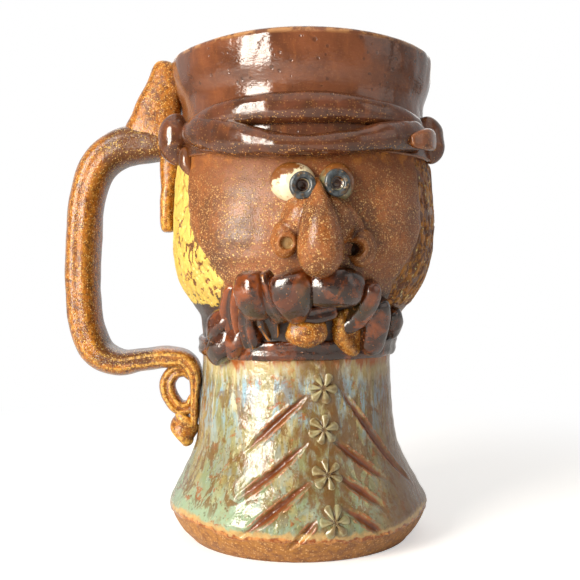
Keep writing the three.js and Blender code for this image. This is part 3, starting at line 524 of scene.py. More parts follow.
class Recipe:
    """A node tree that is being filled. Values are numbers, colours or sockets."""

    def __init__(self, tree):
        self.tree = tree
        self.where = None

    def add(self, kind, inputs=None, **settings):
        made = self.tree.nodes.new(kind)
        for key, value in settings.items():
            setattr(made, key, value)
        for key, value in (inputs or {}).items():
            self.feed(made.inputs[key], value)
        return made

    def feed(self, socket, value):
        if isinstance(value, bpy.types.NodeSocket):
            self.tree.links.new(value, socket)
        elif socket.type == "RGBA":
            socket.default_value = (*(linear(value) if isinstance(value, str) else value), 1)
        else:
            socket.default_value = value

    def sum(self, operation, first, second=0.0, third=0.0):
        return self.add("ShaderNodeMath", {0: first, 1: second, 2: third}, operation=operation).outputs[0]

    def times(self, first, second, plus=None):
        """The product of two values, with a third added if there is one."""
        if plus is None:
            return self.sum("MULTIPLY", first, second)
        return self.sum("MULTIPLY_ADD", first, second, plus)

    def plus(self, first, second):
        return self.sum("ADD", first, second)

    def most(self, first, *others):
        for other in others:
            first = self.sum("MAXIMUM", first, other)
        return first

    def mean(self, share, first, second):
        return self.add("ShaderNodeMix", {0: share, 2: first, 3: second}).outputs[0]

    def over(self, tone, *coats):
        """A colour under further coats, each of which is its share and its colour."""
        for share, coat in coats:
            tone = self.add("ShaderNodeMix", {0: share, 6: tone, 7: coat}, data_type="RGBA").outputs[2]
        return tone

    def step(self, value, low, high, bottom=0.0, top=1.0):
        made = self.add(
            "ShaderNodeMapRange",
            {0: value, 1: low, 2: high, 3: bottom, 4: top},
            interpolation_type="SMOOTHSTEP",
        )
        return made.outputs[0]

    def place(self, stretch=(1, 1, 1), shift=(0, 0, 0)):
        """The place on the mug, stretched and shifted if asked."""
        if stretch == (1, 1, 1) and shift == (0, 0, 0):
            return self.where
        inputs = {"Vector": self.where, "Scale": stretch, "Location": shift}
        return self.add("ShaderNodeMapping", inputs).outputs[0]

    def cloud(self, scale, detail=4.0, rough=0.6, distort=0.0, stretch=(1, 1, 1), shift=(0, 0, 0)):
        inputs = {"Vector": self.place(stretch, shift), "Scale": scale, "Detail": detail}
        inputs.update({"Roughness": rough, "Distortion": distort})
        return self.add("ShaderNodeTexNoise", inputs).outputs[0]

    def mark(self, name):
        return self.add("ShaderNodeAttribute", attribute_name=name).outputs["Fac"]

    def poured(self, group, where=None, **inputs):
        """What a node group puts out for these inputs."""
        made = self.add("ShaderNodeGroup", node_tree=group)
        self.feed(made.inputs["Vector"], self.where if where is None else where)
        for key, value in inputs.items():
            self.feed(made.inputs[key], value)
        return made.outputs

    def speckles(self, size, amount, share=1.0, shift=(0, 0, 0)):
        flecks = self.poured(speckle_group(), self.place(shift=shift), Size=size, Amount=amount)
        return self.times(flecks["Mask"], share)


class Glaze(Recipe):
    """A glazed material: its nodes, its shader and the bump that shapes its light."""

    def __init__(self, name, coat=0.5, specular=0.5, bump=0.1):
        self.made = bpy.data.materials.new(name)
        self.made.use_nodes = True
        super().__init__(self.made.node_tree)
        self.shader = self.tree.nodes["Principled BSDF"].inputs
        self.feed(self.shader["Coat Weight"], coat)
        self.feed(self.shader["Coat Roughness"], COAT_ROUGHNESS)
        self.feed(self.shader["Specular IOR Level"], specular)
        relief = self.add("ShaderNodeBump", {"Strength": 1.0, "Distance": bump * MM})
        for socket in ("Normal", "Coat Normal"):
            self.feed(self.shader[socket], relief.outputs[0])
        self.relief = relief.inputs["Height"]
        metres = self.add("ShaderNodeTexCoord").outputs["Object"]
        self.where = self.add("ShaderNodeMapping", {"Vector": metres, "Scale": [1 / MM] * 3}).outputs[0]
        self.side, self.back, self.height = self.add("ShaderNodeSeparateXYZ", {0: self.where}).outputs

    def finish(self, tone, rough, height):
        self.feed(self.shader["Base Color"], tone)
        self.feed(self.shader["Roughness"], rough)
        self.feed(self.relief, height)
        return self.made


def glaze_group(name, inputs, fill):
    """A node group, made once. Fill takes its recipe and inputs and gives its outputs by name."""
    made = bpy.data.node_groups.get(name)
    if made:
        return made
    made = bpy.data.node_groups.new(name, "ShaderNodeTree")
    made.interface.new_socket("Vector", in_out="INPUT", socket_type="NodeSocketVector")
    for socket, value in inputs.items():
        number = isinstance(value, float)
        kind = "NodeSocketFloat" if number else "NodeSocketColor"
        fresh = made.interface.new_socket(socket, in_out="INPUT", socket_type=kind)
        fresh.default_value = value if number else (*value, 1)
    recipe = Recipe(made)
    start = recipe.add("NodeGroupInput").outputs
    recipe.where = start["Vector"]
    filled = fill(recipe, start)
    for socket in filled:
        kind = "NodeSocketColor" if socket == "Color" else "NodeSocketFloat"
        made.interface.new_socket(socket, in_out="OUTPUT", socket_type=kind)
    end = recipe.add("NodeGroupOutput").inputs
    for socket, value in filled.items():
        recipe.feed(end[socket], value)
    return made


def speckle_group():
    """Round flecks of uneven size: Size is millimetres between them, Amount is how many show."""

    def fill(recipe, start):
        inputs = {"Vector": recipe.where, "Scale": recipe.sum("DIVIDE", 1.0, start["Size"])}
        cells = recipe.add("ShaderNodeTexVoronoi", inputs).outputs
        chance = recipe.add("ShaderNodeSeparateColor", {0: cells["Color"]}).outputs
        reach = recipe.times(chance[0], 0.55)
        dot = recipe.step(recipe.sum("SUBTRACT", reach, cells["Distance"]), -0.06, 0.12)
        shown = recipe.sum("LESS_THAN", chance[1], start["Amount"])
        return {"Mask": recipe.times(dot, shown)}

    return glaze_group("Speckle", {"Size": 1.0, "Amount": 0.5}, fill)


def brown_group(glazes):
    """The cap's glossy brown: clouded, pitted, and broken to rust and gold on edges."""

    def fill(recipe, start):
        cloud = recipe.cloud(0.06, 5, 0.6, 0.4)
        streak = recipe.cloud(0.35, 4, 0.6, stretch=(1, 1, 0.25))
        pits = recipe.speckles(1.3, 0.12)
        tone = recipe.over(
            start["Shade"],
            (recipe.step(cloud, 0.36, 0.66), start["Main"]),
            (recipe.step(streak, 0.5, 0.75, 0, 0.4), "8e5228"),
            (recipe.times(pits, 0.45), "301a0e"),
            (recipe.step(start["Ridge"], 0.12, 0.5, 0, 0.65), "8a4f24"),
            (recipe.times(recipe.speckles(0.48, 0.4), start["Gold"]), "dca458"),
        )
        fine = recipe.cloud(0.5, 3, 0.55, stretch=(1, 1, 2.2))
        return {
            "Color": tone,
            "Roughness": recipe.step(cloud, 0.3, 0.7, 0.1, 0.2),
            "Height": recipe.times(pits, -0.35, plus=recipe.times(fine, 0.5)),
        }

    sockets = {"Ridge": 0.0, "Gold": 0.3, "Main": glazes.cap, "Shade": glazes.cap_shade}
    return glaze_group("Cap glaze", sockets, fill)


def sandy_group(glazes):
    """The face's sandy brown: pale and dark flecks over clouds of two browns."""

    def fill(recipe, start):
        patch = recipe.cloud(0.45, 4, 0.65)
        fine = recipe.speckles(0.42, 0.75, 0.7, shift=(1, 4, 7))
        pale = recipe.speckles(0.66, 0.4, 0.8, shift=(5, 9, 2))
        flecks = recipe.most(fine, pale)
        drift = recipe.step(recipe.cloud(0.12, 4, 0.6), 0.35, 0.65, 0.5, 1)
        tone = recipe.over(
            start["Shade"],
            (recipe.step(recipe.cloud(0.07, 5, 0.62, 0.3), 0.36, 0.64), start["Main"]),
            (recipe.step(patch, 0.5, 0.75, 0, 0.55), "b26a24"),
            (recipe.step(recipe.cloud(1.1, 3, 0.7, shift=(4, 2, 9)), 0.52, 0.64, 0, 0.6), "4a260f"),
            (recipe.times(flecks, drift), start["Fleck"]),
            (recipe.step(start["Ridge"], -0.4, -0.06, 0.55, 0), "3f2013"),
        )
        return {
            "Color": tone,
            "Roughness": recipe.step(patch, 0.3, 0.75, 0.4, 0.28),
            "Height": recipe.times(recipe.cloud(2.6, 1, 0.5), 0.6, plus=flecks),
        }

    sockets = {"Ridge": 0.0, "Main": glazes.face, "Shade": glazes.face_shade, "Fleck": glazes.fleck}
    return glaze_group("Face glaze", sockets, fill)


def milky_group(glazes):
    """The chest's running glaze: celadon, sky and cream in streaks, over rust spots."""

    def fill(recipe, start):
        side, back, height = recipe.add("ShaderNodeSeparateXYZ", {0: recipe.where}).outputs
        wide = recipe.cloud(0.07, 5, 0.6, 1.2, stretch=(1, 1, 0.3))
        narrow = recipe.cloud(0.4, 5, 0.65, 0.6, stretch=(1, 1, 0.22))
        mottle = recipe.cloud(0.2, 6, 0.68, 0.5, stretch=(1, 1, 0.45))
        # Tan everywhere, green in pools low down, blue and cream high on the chest
        high = recipe.step(height, 30, 52)
        blotch = recipe.step(recipe.cloud(0.16, 6, 0.65, 0.8, stretch=(1, 1, 0.6)), 0.38, 0.62)
        green = recipe.times(recipe.step(wide, 0.4, 0.56), recipe.step(height, 34, 18, 0.45, 1))
        blue = recipe.times(recipe.step(narrow, 0.44, 0.6), recipe.times(high, 0.72, plus=0.26))
        pools = recipe.step(recipe.cloud(0.13, 5, 0.6, 1.5, stretch=(1, 1, 0.3)), 0.54, 0.7, 0, 0.85)
        low_pool = recipe.times(recipe.step(height, 25, 15), recipe.step(side, -8, -26, 0, 0.7))
        # Brown mottles in upright streaks, then iron spots and the right side's pinkish brown, partly the
        # glaze's own tone and partly painted shade on the side away from the light
        belt = recipe.times(recipe.step(height, 8, 18), recipe.step(height, 62, 40, 0.45, 1))
        olive = recipe.times(recipe.step(mottle, 0.495, 0.57, 0, 0.85), belt)
        spots = recipe.step(recipe.cloud(0.26, 6, 0.72, 0.3), 0.56, 0.66, 0, 0.85)
        light = recipe.step(recipe.cloud(1.1, 4, 0.7, stretch=(1, 1, 0.3)), 0.58, 0.7, 0, 0.7)
        # Pinkish brown towards the right: partly glaze tone, partly painted shade
        right_tone_and_shade = recipe.step(recipe.times(wide, 16, plus=side), 24, 42, 0, 0.78)
        # Drips below the neck, and brown round the buttons
        drip = recipe.times(wide, 14, plus=recipe.times(narrow, 12, plus=height))
        column = recipe.sum("ABSOLUTE", recipe.sum("SUBTRACT", side, 7.0))
        heads = recipe.times(recipe.step(column, 11, 5), recipe.step(back, 0, -10))
        heads = recipe.times(heads, recipe.step(mottle, 0.36, 0.54, 0, 0.85))
        tone = recipe.over(
            "a5935c",
            (blotch, "837344"),
            (green, start["Green"]),
            (blue, start["Blue"]),
            (recipe.times(pools, high), start["Cream"]),
            (low_pool, "9db596"),
            (olive, "745021"),
            (spots, start["Iron"]),
            (recipe.speckles(0.9, 0.4, 0.5), "54401f"),
            (light, "c9c293"),
            (right_tone_and_shade, "7d4f30"),
            (recipe.step(drip, 67, 72, 0, 0.5), "cdb67c"),
            (recipe.step(drip, 72, 76), "a05518"),
            (heads, "6b4b22"),
            (start["Rust"], start["Iron"]),
        )
        return {
            "Color": tone,
            "Roughness": recipe.step(narrow, 0.3, 0.7, 0.12, 0.26),
            "Height": recipe.times(recipe.cloud(0.3, 4, 0.55), 1.8, plus=recipe.times(narrow, 0.5)),
        }

    sockets = {"Green": glazes.celadon, "Blue": glazes.sky, "Cream": glazes.cream, "Iron": glazes.rust}
    return glaze_group("Chest glaze", {"Rust": 0.0, **sockets}, fill)


def vessel_glaze(glazes):
    """The vessel's four coats: bare foot, chest, face and cap, one above the other."""
    glaze = Glaze("vessel_glaze", coat=0.35, bump=0.22)
    height = glaze.height
    ridge, crust, groove = (glaze.mark(name) for name in ("ridge", "crust", "groove"))
    brown = glaze.poured(brown_group(glazes), Ridge=ridge, Gold=0.05)
    sandy = glaze.poured(sandy_group(glazes), Ridge=ridge)
    milky = glaze.poured(milky_group(glazes), Rust=glaze.step(crust, 0.25, 0.75, 0, 0.85))
    wobble = glaze.cloud(0.35, 4, 0.6)
    patches = glaze.cloud(0.25, 5, 0.65)

    # The foot: bare clay, then the glaze's thick edge, rusty with a line of cream
    low = glaze.plus(glaze.mark("above_foot"), glaze.step(wobble, 0.3, 0.7, -0.06, 0.06))
    clay = glaze.over(
        glazes.clay,
        (glaze.step(glaze.cloud(0.5, 5, 0.65), 0.4, 0.65), "84532d"),
        (glaze.speckles(0.7, 0.6, 0.6), "e2b67c"),
    )
    glaze_edge = glaze.over(
        "8d4a1d",
        (glaze.step(glaze.cloud(0.5, 4, 0.6), 0.42, 0.6), "c98a4a"),
        (glaze.step(low, 0.1, 0.16, 0, 0.6), "c9b377"),
    )
    # The chest, with slashes that are rust red inside and have pale grains along their crust
    grains = glaze.times(glaze.speckles(0.8, 0.75), glaze.step(crust, 0.35, 0.8, 0, 0.7))
    chest = glaze.over(
        milky["Color"],
        (glaze.step(groove, 0.15, 0.6), "7e421c"),
        (glaze.step(groove, 0.6, 1.0, 0, 0.7), "4a2411"),
        (grains, "dcc08a"),
    )
    chest = glaze.over(glaze_edge, (glaze.step(low, 0.2, 0.34), chest))
    chest = glaze.over(clay, (glaze.step(low, -0.03, 0.03), chest))

    # Where each coat stops, with an uneven line
    neck = glaze.step(glaze.times(wobble, 2, plus=height), 63.5, 65)
    brow = glaze.step(glaze.times(wobble, 3, plus=height), 131, 133)
    cap_part = glaze.most(brow, glaze.mark("inside"))
    front = glaze.step(glaze.times(glaze.side, 0.3, plus=glaze.back), -12, -20)
    chin = glaze.times(glaze.step(glaze.times(wobble, 7, plus=height), 88, 84.5), front)

    # The face, with a painted shadow under the cap's peak, crusty under the cap, and painted dark behind
    # the moustache
    dark = glaze.over(glazes.treacle, (glaze.step(glaze.cloud(0.2, 4, 0.6), 0.5, 0.7), glazes.treacle_thin))
    crusty = glaze.step(glaze.times(wobble, 18, plus=height), 130, 137, 0, 0.75)
    crusty = glaze.times(crusty, glaze.step(patches, 0.46, 0.6))
    # Painted shadow of the cap's peak: the forehead darkens towards the brow
    painted_brow_shadow = glaze.step(height, 112, 126, 0, 0.75)
    face = glaze.over(sandy["Color"], (painted_brow_shadow, "7c4116"), (crusty, "bd7628"), (chin, dark))

    worn = glaze.times(glaze.mark("worn"), glaze.step(patches, 0.4, 0.56, 0, 0.8))
    tone = glaze.over(
        chest,
        (neck, face),
        (cap_part, brown["Color"]),
        (glaze.step(glaze.mark("lip"), 0.3, 0.9, 0, 0.75), "4a2c17"),
        (worn, "b98552"),
    )
    rough = glaze.mean(neck, milky["Roughness"], sandy["Roughness"])
    rough = glaze.mean(cap_part, rough, brown["Roughness"])
    bare = glaze.step(low, -0.03, 0.12, 0.45, 0.0)
    dull = glaze.times(glaze.step(height, 110, 124, 0, 0.2), glaze.step(height, 133, 131))
    dull = glaze.plus(glaze.step(crust, 0.2, 0.8, 0.0, 0.25), dull)
    bumps = glaze.mean(glaze.step(height, 63, 66), milky["Height"], sandy["Height"])
    bumps = glaze.mean(cap_part, bumps, brown["Height"])
    fading = glaze.step(height, 124, 106, 0.0, 0.55)
    glossy = glaze.most(glaze.sum("SUBTRACT", 1.0, neck), cap_part, chin, fading)
    glaze.feed(glaze.shader["Coat Weight"], glaze.times(glossy, glaze.step(low, -0.03, 0.1, 0.1, 0.6)))
    return glaze.finish(tone, glaze.plus(glaze.most(rough, bare), dull), bumps)


def cap_glaze(glazes, name="cap_glaze", gold=0.16, base="653823"):
    """The cap's brown on rolled clay: more gold underneath, darker where it meets the wall."""
    glaze = Glaze(name, coat=0.5, bump=0.18)
    underneath = glaze.step(glaze.times(glaze.mark("under"), -1.0), 0.0, 0.7, 0, 0.5)
    ridge, gold = glaze.mark("ridge"), glaze.plus(underneath, gold)
    brown = glaze.poured(brown_group(glazes), Ridge=ridge, Gold=gold, Main=base, Shade="452716")
    tone = glaze.over(brown["Color"], (glaze.step(glaze.mark("lift"), 0, 0.22, 0.6, 0), "341d10"))
    return glaze.finish(tone, brown["Roughness"], brown["Height"])


def face_glaze(glazes):
    """The face's sandy brown on the nose, with one open nostril painted near black as its shade, and one
    that is filled.
    """
    glaze = Glaze("face_glaze", coat=0.3, specular=0.4, bump=0.16)
    ridge = glaze.mark("ridge")
    sandy = glaze.poured(sandy_group(glazes), Ridge=ridge)
    tone = glaze.over(
        sandy["Color"],
        (glaze.step(ridge, 0.08, 0.3, 0, 0.45), "a9672f"),
        # Painted shade: the open nostril's hollow painted near black
        (glaze.step(glaze.mark("open_nostril_shade"), 0.3, 0.8, 0, 0.95), "1f0f0a"),
        (glaze.step(glaze.mark("filled"), 0.3, 0.8, 0, 0.75), "a98854"),
    )
    return glaze.finish(tone, glaze.sum("SUBTRACT", sandy["Roughness"], 0.12), sandy["Height"])


def treacle_glaze(glazes, name="treacle_glaze", warmth=0.0):
    """Dark glossy glaze that breaks to red brown where it runs thin over an edge."""
    glaze = Glaze(name, coat=1.0, bump=0.12)
    cloud = glaze.cloud(0.1, 4, 0.55, 0.7)
    ridge = glaze.mark("ridge")
    rusty = glaze.step(glaze.cloud(0.16, 4, 0.6, 0.4), 0.5 - warmth, 0.72 - warmth, 0, 0.9)
    thin = glaze.times(glaze.step(ridge, 0.48, 0.82, 0, 0.85), glaze.step(cloud, 0.34, 0.54, 0.35, 1))
    flecks = glaze.speckles(0.5, 0.12, 0.45)
    tone = glaze.over(
        glazes.treacle,
        (glaze.step(cloud, 0.5 - warmth, 0.68 - warmth), glazes.treacle_thin),
        (rusty, "8a4312"),
        (glaze.step(glaze.cloud(0.08, 3, 0.5, shift=(7, 3, 5)), 0.55, 0.66, 0, 0.6), "3a3016"),
        (glaze.step(ridge, -0.3, 0.1, 0.85, 0), "1a0c05"),
        (thin, "c27a20"),
        (flecks, "a8662c"),
    )
    bumps = glaze.times(glaze.cloud(0.35, 4, 0.6), 2.0, plus=flecks)
    return glaze.finish(tone, glaze.step(cloud, 0.3, 0.7, 0.06, 0.14), bumps)


def amber_glaze(glazes, name="amber_glaze", pale=1.0):
    """Orange brown of the handle, with cream on its edges that is partly a painted highlight, painted shade
    on the strap's inner side, and dark iron specks.
    """
    glaze = Glaze(name, coat=0.85, specular=0.25, bump=0.16)
    fine = glaze.cloud(0.9, 5, 0.7)
    # Cream where the glaze thins on ridges, partly a painted highlight along the edges
    edge = glaze.times(glaze.step(glaze.mark("ridge"), 0.16, 0.34), glaze.step(fine, 0.42, 0.58, 0.1, 1))
    light = glaze.speckles(0.45, 0.6, shift=(2, 6, 4))
    tone = glaze.over(
        "6b3708",
        (glaze.step(glaze.cloud(0.5, 6, 0.68, 0.3), 0.4, 0.57), glazes.amber),
        (glaze.step(fine, 0.5, 0.66, 0, 0.75), "c98a2e"),
        # Painted shade on the strap's inner side, which faces away from the light
        (glaze.times(glaze.mark("inner_shade"), 0.8), "4f2809"),
        (glaze.times(edge, pale * 0.8), glazes.amber_pale),
        (glaze.step(glaze.cloud(0.8, 4, 0.7, shift=(5, 1, 8)), 0.55, 0.68, 0, 0.75), "4a270b"),
        (glaze.times(light, 0.75), "f8cf72"),
    )
    bumps = glaze.times(fine, 1.3, plus=glaze.times(light, 0.6))
    return glaze.finish(tone, glaze.step(fine, 0.3, 0.7, 0.26, 0.14), bumps)


def hair_slip(glazes):
    """Dry slip, straw on one side and crusty ochre on the other, brown in its scratches. The ochre on the
    right side is partly the slip's own tone and partly painted shade.
    """
    glaze = Glaze("hair_slip", coat=0.12, bump=0.22)
    cloud = glaze.cloud(0.2, 5, 0.65, 0.6)
    lines = glaze.cloud(0.75, 4, 0.6, 2.2, stretch=(1.6, 1.6, 0.8))
    # Ochre towards the right side: partly the slip's own tone, partly painted shade away from the light
    right = glaze.step(glaze.times(glaze.cloud(0.09, 4, 0.6), 30, plus=glaze.side), 2, 26)
    slip = glaze.over(glazes.straw, (right, glazes.ochre))
    crusts = glaze.step(glaze.times(right, 0.19, plus=glaze.cloud(0.22, 6, 0.7, 0.5)), 0.67, 0.73)
    tone = glaze.over(
        slip,
        (0.45, "b88c3a"),
        (glaze.step(cloud, 0.35, 0.65), slip),
        (glaze.step(glaze.mark("scratch"), 0.08, 0.5, 0, 0.9), "80561a"),
        (glaze.step(lines, 0.56, 0.66, 0, 0.65), "93681f"),
        (glaze.times(crusts, 0.85), "54260f"),
        (glaze.speckles(1.2, 0.3, 0.6), "f4e59a"),
    )
    bumps = glaze.plus(lines, glaze.times(crusts, 0.5))
    return glaze.finish(tone, glaze.step(cloud, 0.3, 0.7, 0.35, 0.6), bumps)


def eye_glaze(name, brown_low, brown_high, milk, stain):
    """Milky white over brown: the lid side of each ball is left brown."""
    glaze = Glaze(name, coat=0.8, bump=0.08)
    cloud = glaze.cloud(0.45, 5, 0.65)
    lid = glaze.plus(glaze.mark("lid"), glaze.step(cloud, 0.3, 0.7, -0.2, 0.2))
    tone = glaze.over(
        milk,
        (glaze.step(cloud, 0.42, 0.7, 0, stain), "8d7a4e"),
        (glaze.step(lid, brown_low, brown_high), "7d4a20"),
        (glaze.step(glaze.mark("lift"), 0.28, 0.12, 0, 0.85), "5e3519"),
        (glaze.step(glaze.mark("pupil"), 0.3, 0.7), "3a2116"),
        (glaze.speckles(0.7, 0.3, 0.5), "b98f56"),
    )
    return glaze.finish(tone, glaze.step(cloud, 0.3, 0.7, 0.08, 0.2), cloud)


def iris_glaze(glazes):
    glaze = Glaze("iris_glaze", coat=0.4, specular=0.35, bump=0.22)
    cloud = glaze.cloud(0.5, 5, 0.65, 0.5)
    tone = glaze.over(
        glazes.slate,
        (glaze.step(cloud, 0.4, 0.6), "2b3034"),
        (glaze.step(glaze.cloud(0.4, 4, 0.6, shift=(3, 8, 1)), 0.52, 0.64, 0, 0.8), "5f4526"),
        (glaze.speckles(0.7, 0.4, 0.5), "a58a62"),
    )
    return glaze.finish(tone, glaze.step(cloud, 0.3, 0.7, 0.06, 0.16), cloud)


def button_glaze(glazes):
    """The chest's glaze, browner, pale on the petals and dark between them; the pale on the petals' ridges
    is partly a painted highlight.
    """
    glaze = Glaze("button_glaze", coat=0.6, bump=0.14)
    ridge = glaze.mark("ridge")
    milky = glaze.poured(milky_group(glazes))
    tone = glaze.over(
        milky["Color"],
        (0.5, "8a8257"),
        # Cream on the petals' ridges, partly a painted highlight
        (glaze.step(ridge, 0.15, 0.6, 0, 0.5), "bdb48a"),
        (glaze.step(glaze.cloud(0.35, 5, 0.65), 0.48, 0.62, 0, 0.7), "75542a"),
        (glaze.step(ridge, -0.4, 0.0, 0.9, 0), "54371a"),
    )
    return glaze.finish(tone, milky["Roughness"], milky["Height"])


# Vessel

# Each cut of the knife beside the buttons, as (angle, level) from its high end to its low end
SLASHES = [
    [(23, 53.8), (54.5, 30.8), (68, 19.5)],
    [(19, 37.3), (34, 29.8), (48, 22.9)],
    [(20.5, 26.1), (30.5, 21), (40, 15.8)],
    [(20, 16.9), (30.5, 11.6), (40.5, 6.5)],
    [(7, 51.4), (-10, 42.4), (-27, 32.9)],
    [(7.2, 36.9), (-10, 27.8), (-28, 18.4)],
    [(8, 25.8), (-8.5, 17.2), (-25, 8.2)],
    [(7.4, 14.5), (1.6, 9.6), (-4.4, 5.2)],
]
SLASH_NEAR = 6
SLASH_SIDE = 85
SPIN_STEPS = 250
FRONT_CROWDING = 0.42
SLASH_MARGIN = 2.6
# Radians of the throwing rings' wave in each millimetre of height
RING_TURN = 1.15
BUTTON_SWELL = 0.5
BUTTON_SWELL_RADIUS = 6.5
FOOT_RINGS = (12, 24, 32, 36)
FLOOR_CURVE = ((0.97, 0.6), (0.93, 0.3), (0.87, 0.1), (0.78, 0), (0.5, 0), (0.25, 0), (0, 0))


def slash_reach(points):
    """For each point, how far it is from the nearest slash, and how deep that slash is there."""
    angle, level = angle_of(points), points[:, 2]
    across = np.radians(angle) * thrown(level)
    nearest = np.full(len(points), 99.0)
    strength = np.zeros(len(points))
    for places in SLASHES:
        turns, levels = np.array(places, float).T
        line = smooth_line(np.stack([np.radians(turns) * thrown(levels), levels], axis=1), 60)
        near = (level > levels.min() - SLASH_NEAR) & (level < levels.max() + SLASH_NEAR)
        near = near & (np.abs(angle) < SLASH_SIDE)
        index = np.where(near)[0]
        gaps = np.hypot(across[index, None] - line[None, :, 0], level[index, None] - line[None, :, 1])
        closest = gaps.argmin(axis=1)
        gap = gaps[np.arange(len(index)), closest]
        run = closest / (len(line) - 1)
        deep = np.sin(np.pi * np.clip(run, 0.01, 0.99)) ** 0.6
        better = gap < nearest[index]
        nearest[index[better]] = gap[better]
        strength[index[better]] = deep[better]
    return nearest, strength


def vessel_profile():
    """The wall's section as [radius, height]: foot, outside, lip, inside and floor."""
    yield 0, 0
    for radius in FOOT_RINGS:
        yield radius, 0
    outside = smooth_line(WALL_LINE[WALL_LINE[:, 1] < RIM_LEVEL - WALL / 2], 170)
    for radius, level in outside:
        yield radius, level
    for turn in np.linspace(0, np.pi, 9)[1:]:
        yield RIM_RADIUS - WALL / 2 * (1 - math.cos(turn)), RIM_LEVEL - WALL / 2 * (1 - math.sin(turn))
    for level in np.linspace(RIM_LEVEL - WALL * 2, FLOOR * 2, 44):
        near_foot = fade(FLARE_LEVEL * 2.5 - level, 0, FLARE_LEVEL * 2)
        yield thrown(level) - between(WALL, FOOT_WALL, near_foot), level
    floor = thrown(FLOOR) - FOOT_WALL
    for share, rise in FLOOR_CURVE:
        yield floor * share, between(FLOOR, FLOOR * 2, rise)


class MUG_OT_vessel(bpy.types.Operator):
    """Throws the vessel from one profile, presses out its cheeks and cuts the slashes"""

    bl_idname = "mug.vessel"
    bl_label = "Vessel"

    def execute(self, context):
        profile = np.array(list(vessel_profile()), float)
        deselect()
        bpy.ops.mesh.primitive_circle_add(vertices=len(profile), radius=1, fill_type="NOTHING")
        vessel = named("vessel")
        put_points(vessel, np.stack([np.zeros(len(profile)), -profile[:, 0], profile[:, 1]], axis=1))
        bpy.ops.object.mode_set(mode="EDIT")
        bpy.ops.mesh.select_all(action="SELECT")
        bpy.ops.mesh.spin(steps=SPIN_STEPS, angle=math.tau, center=(0, 0, 0), axis=(0, 0, 1))
        bpy.ops.mesh.select_all(action="SELECT")
        bpy.ops.mesh.remove_doubles(threshold=1e-3)
        bpy.ops.mesh.delete_loose()
        bpy.ops.mesh.select_all(action="SELECT")
        bpy.ops.mesh.normals_make_consistent(inside=False)
        bpy.ops.object.mode_set(mode="OBJECT")

        # More of its points go to the front, where the marks are
        points = points_of(vessel)
        turn = np.radians(angle_of(points))
        turn = turn - FRONT_CROWDING * np.sin(turn)
        put_points(vessel, round_mug(turn, np.hypot(points[:, 0], points[:, 1]), points[:, 2]))
        select_faces(
            vessel, lambda c: (np.hypot(c[:, 0], c[:, 1]) > 30) & (slash_reach(c)[0] < SLASH_MARGIN)
        )
        bpy.ops.mesh.subdivide(number_cuts=1)
        bpy.ops.object.mode_set(mode="OBJECT")
        self.shape(vessel, context.scene.mug_clay)
        fire(vessel, "body_glaze", vessel_glaze(context.scene.mug_glazes), "body")
        return {"FINISHED"}

    def shape(self, vessel, clay):
        """Presses out the cheeks and the face, then leaves the marks of hands, knife and glaze."""
        points = points_of(vessel)
        radius, level = np.hypot(points[:, 0], points[:, 1]), points[:, 2].copy()
        angle = angle_of(points)
        wall = thrown(level)
        outer = fade(radius - wall, -1.5, -0.05) * (level > 0.5)
        left, right = hair_edges(level)
        face = fade(angle - left, -1.5, 2.2) * fade(right - angle, -1.5, 2.2)
        face = face * fade(level, 70, 76) * fade(BROW_LEVEL + 3 - level, 0, 3)
        lift = cheeks(angle, level) * fade(radius, 20, 30)
        lift = lift + face * outer * clay.skin / MM

        # Throwing rings, stronger on the head, and dents
        rings = np.sin(level * RING_TURN + grain(points, 30) * 1.5) * clay.rings / MM
        rings = rings * fade(BROW_LEVEL + 8 - level, 0, 8) * between(0.45, 1, fade(level, 60, 75))
        uneven = grain(points, 14, 2, 3) * 0.25 + grain(points * np.array([1, 1, 0.6]), 5, 2, 9) * 0.17
        lift = lift + outer * (rings + uneven)

        # Slashes with their crust
        reach, deep = slash_reach(points)
        reach = reach + grain(points, 2.2, 2, 5) * 0.25
        half = 0.35 + 0.8 * deep
        groove = np.exp(-((np.abs(reach) / half) ** 1.5)) * deep * outer
        crust = np.exp(-(((reach - 0.45 - half) / 0.4) ** 2)) * deep * outer
        crust = crust * (0.75 + 0.6 * grain(points, 1.8, 2, 8))
        lift = lift - groove * clay.slash / MM + crust * clay.crust / MM

        # A low swelling under each button, and the thick edge of the glaze above the foot
        for height in BUTTON_LEVELS:
            gap = np.hypot(np.radians(angle - BUTTON_ANGLE) * wall, level - height)
            lift = lift + outer * BUTTON_SWELL * np.exp(-((gap / BUTTON_SWELL_RADIUS) ** 4))
        edge = np.interp(angle, *np.array(GLAZE_EDGE, float).T) + grain(points, 7, 2, 4) * 0.8
        above = (level - edge) / 10
        bead = 0.3 * np.exp(-(((above - 0.06) / 0.05) ** 2))
        lift = lift + outer * (0.35 * fade(above, -0.02, 0.05) + bead)
        lift = lift * (level > 0.4)

        # The rim rises at the front and dips at the left
        rise = 1.1 * np.exp(-(((angle - 8) / 55) ** 2)) - 0.7 * np.exp(-(((angle + 50) / 24) ** 2))
        level = np.maximum(level + rise * fade(level, 140, RIM_LEVEL), 0)
        scale = (radius + lift) / radius.clip(1e-3)
        put_points(vessel, np.stack([points[:, 0] * scale, points[:, 1] * scale, level], axis=1))

        corner = np.hypot(radius - RIM_RADIUS + 0.5, points[:, 2] - RIM_LEVEL + 0.9)
        marks = {
            "groove": groove,
            "crust": np.clip(crust, 0, 1),
            "above_foot": above,
            "inside": (radius < wall - 1.2) & (level > 5),
            "lip": fade(points[:, 2], RIM_LEVEL - 1.6, RIM_LEVEL - 0.2),
            "worn": fade(1.3 - corner, 0, 0.6),
        }
        for name, values in marks.items():
            set_mark(vessel, name, values)


# Hair and collar

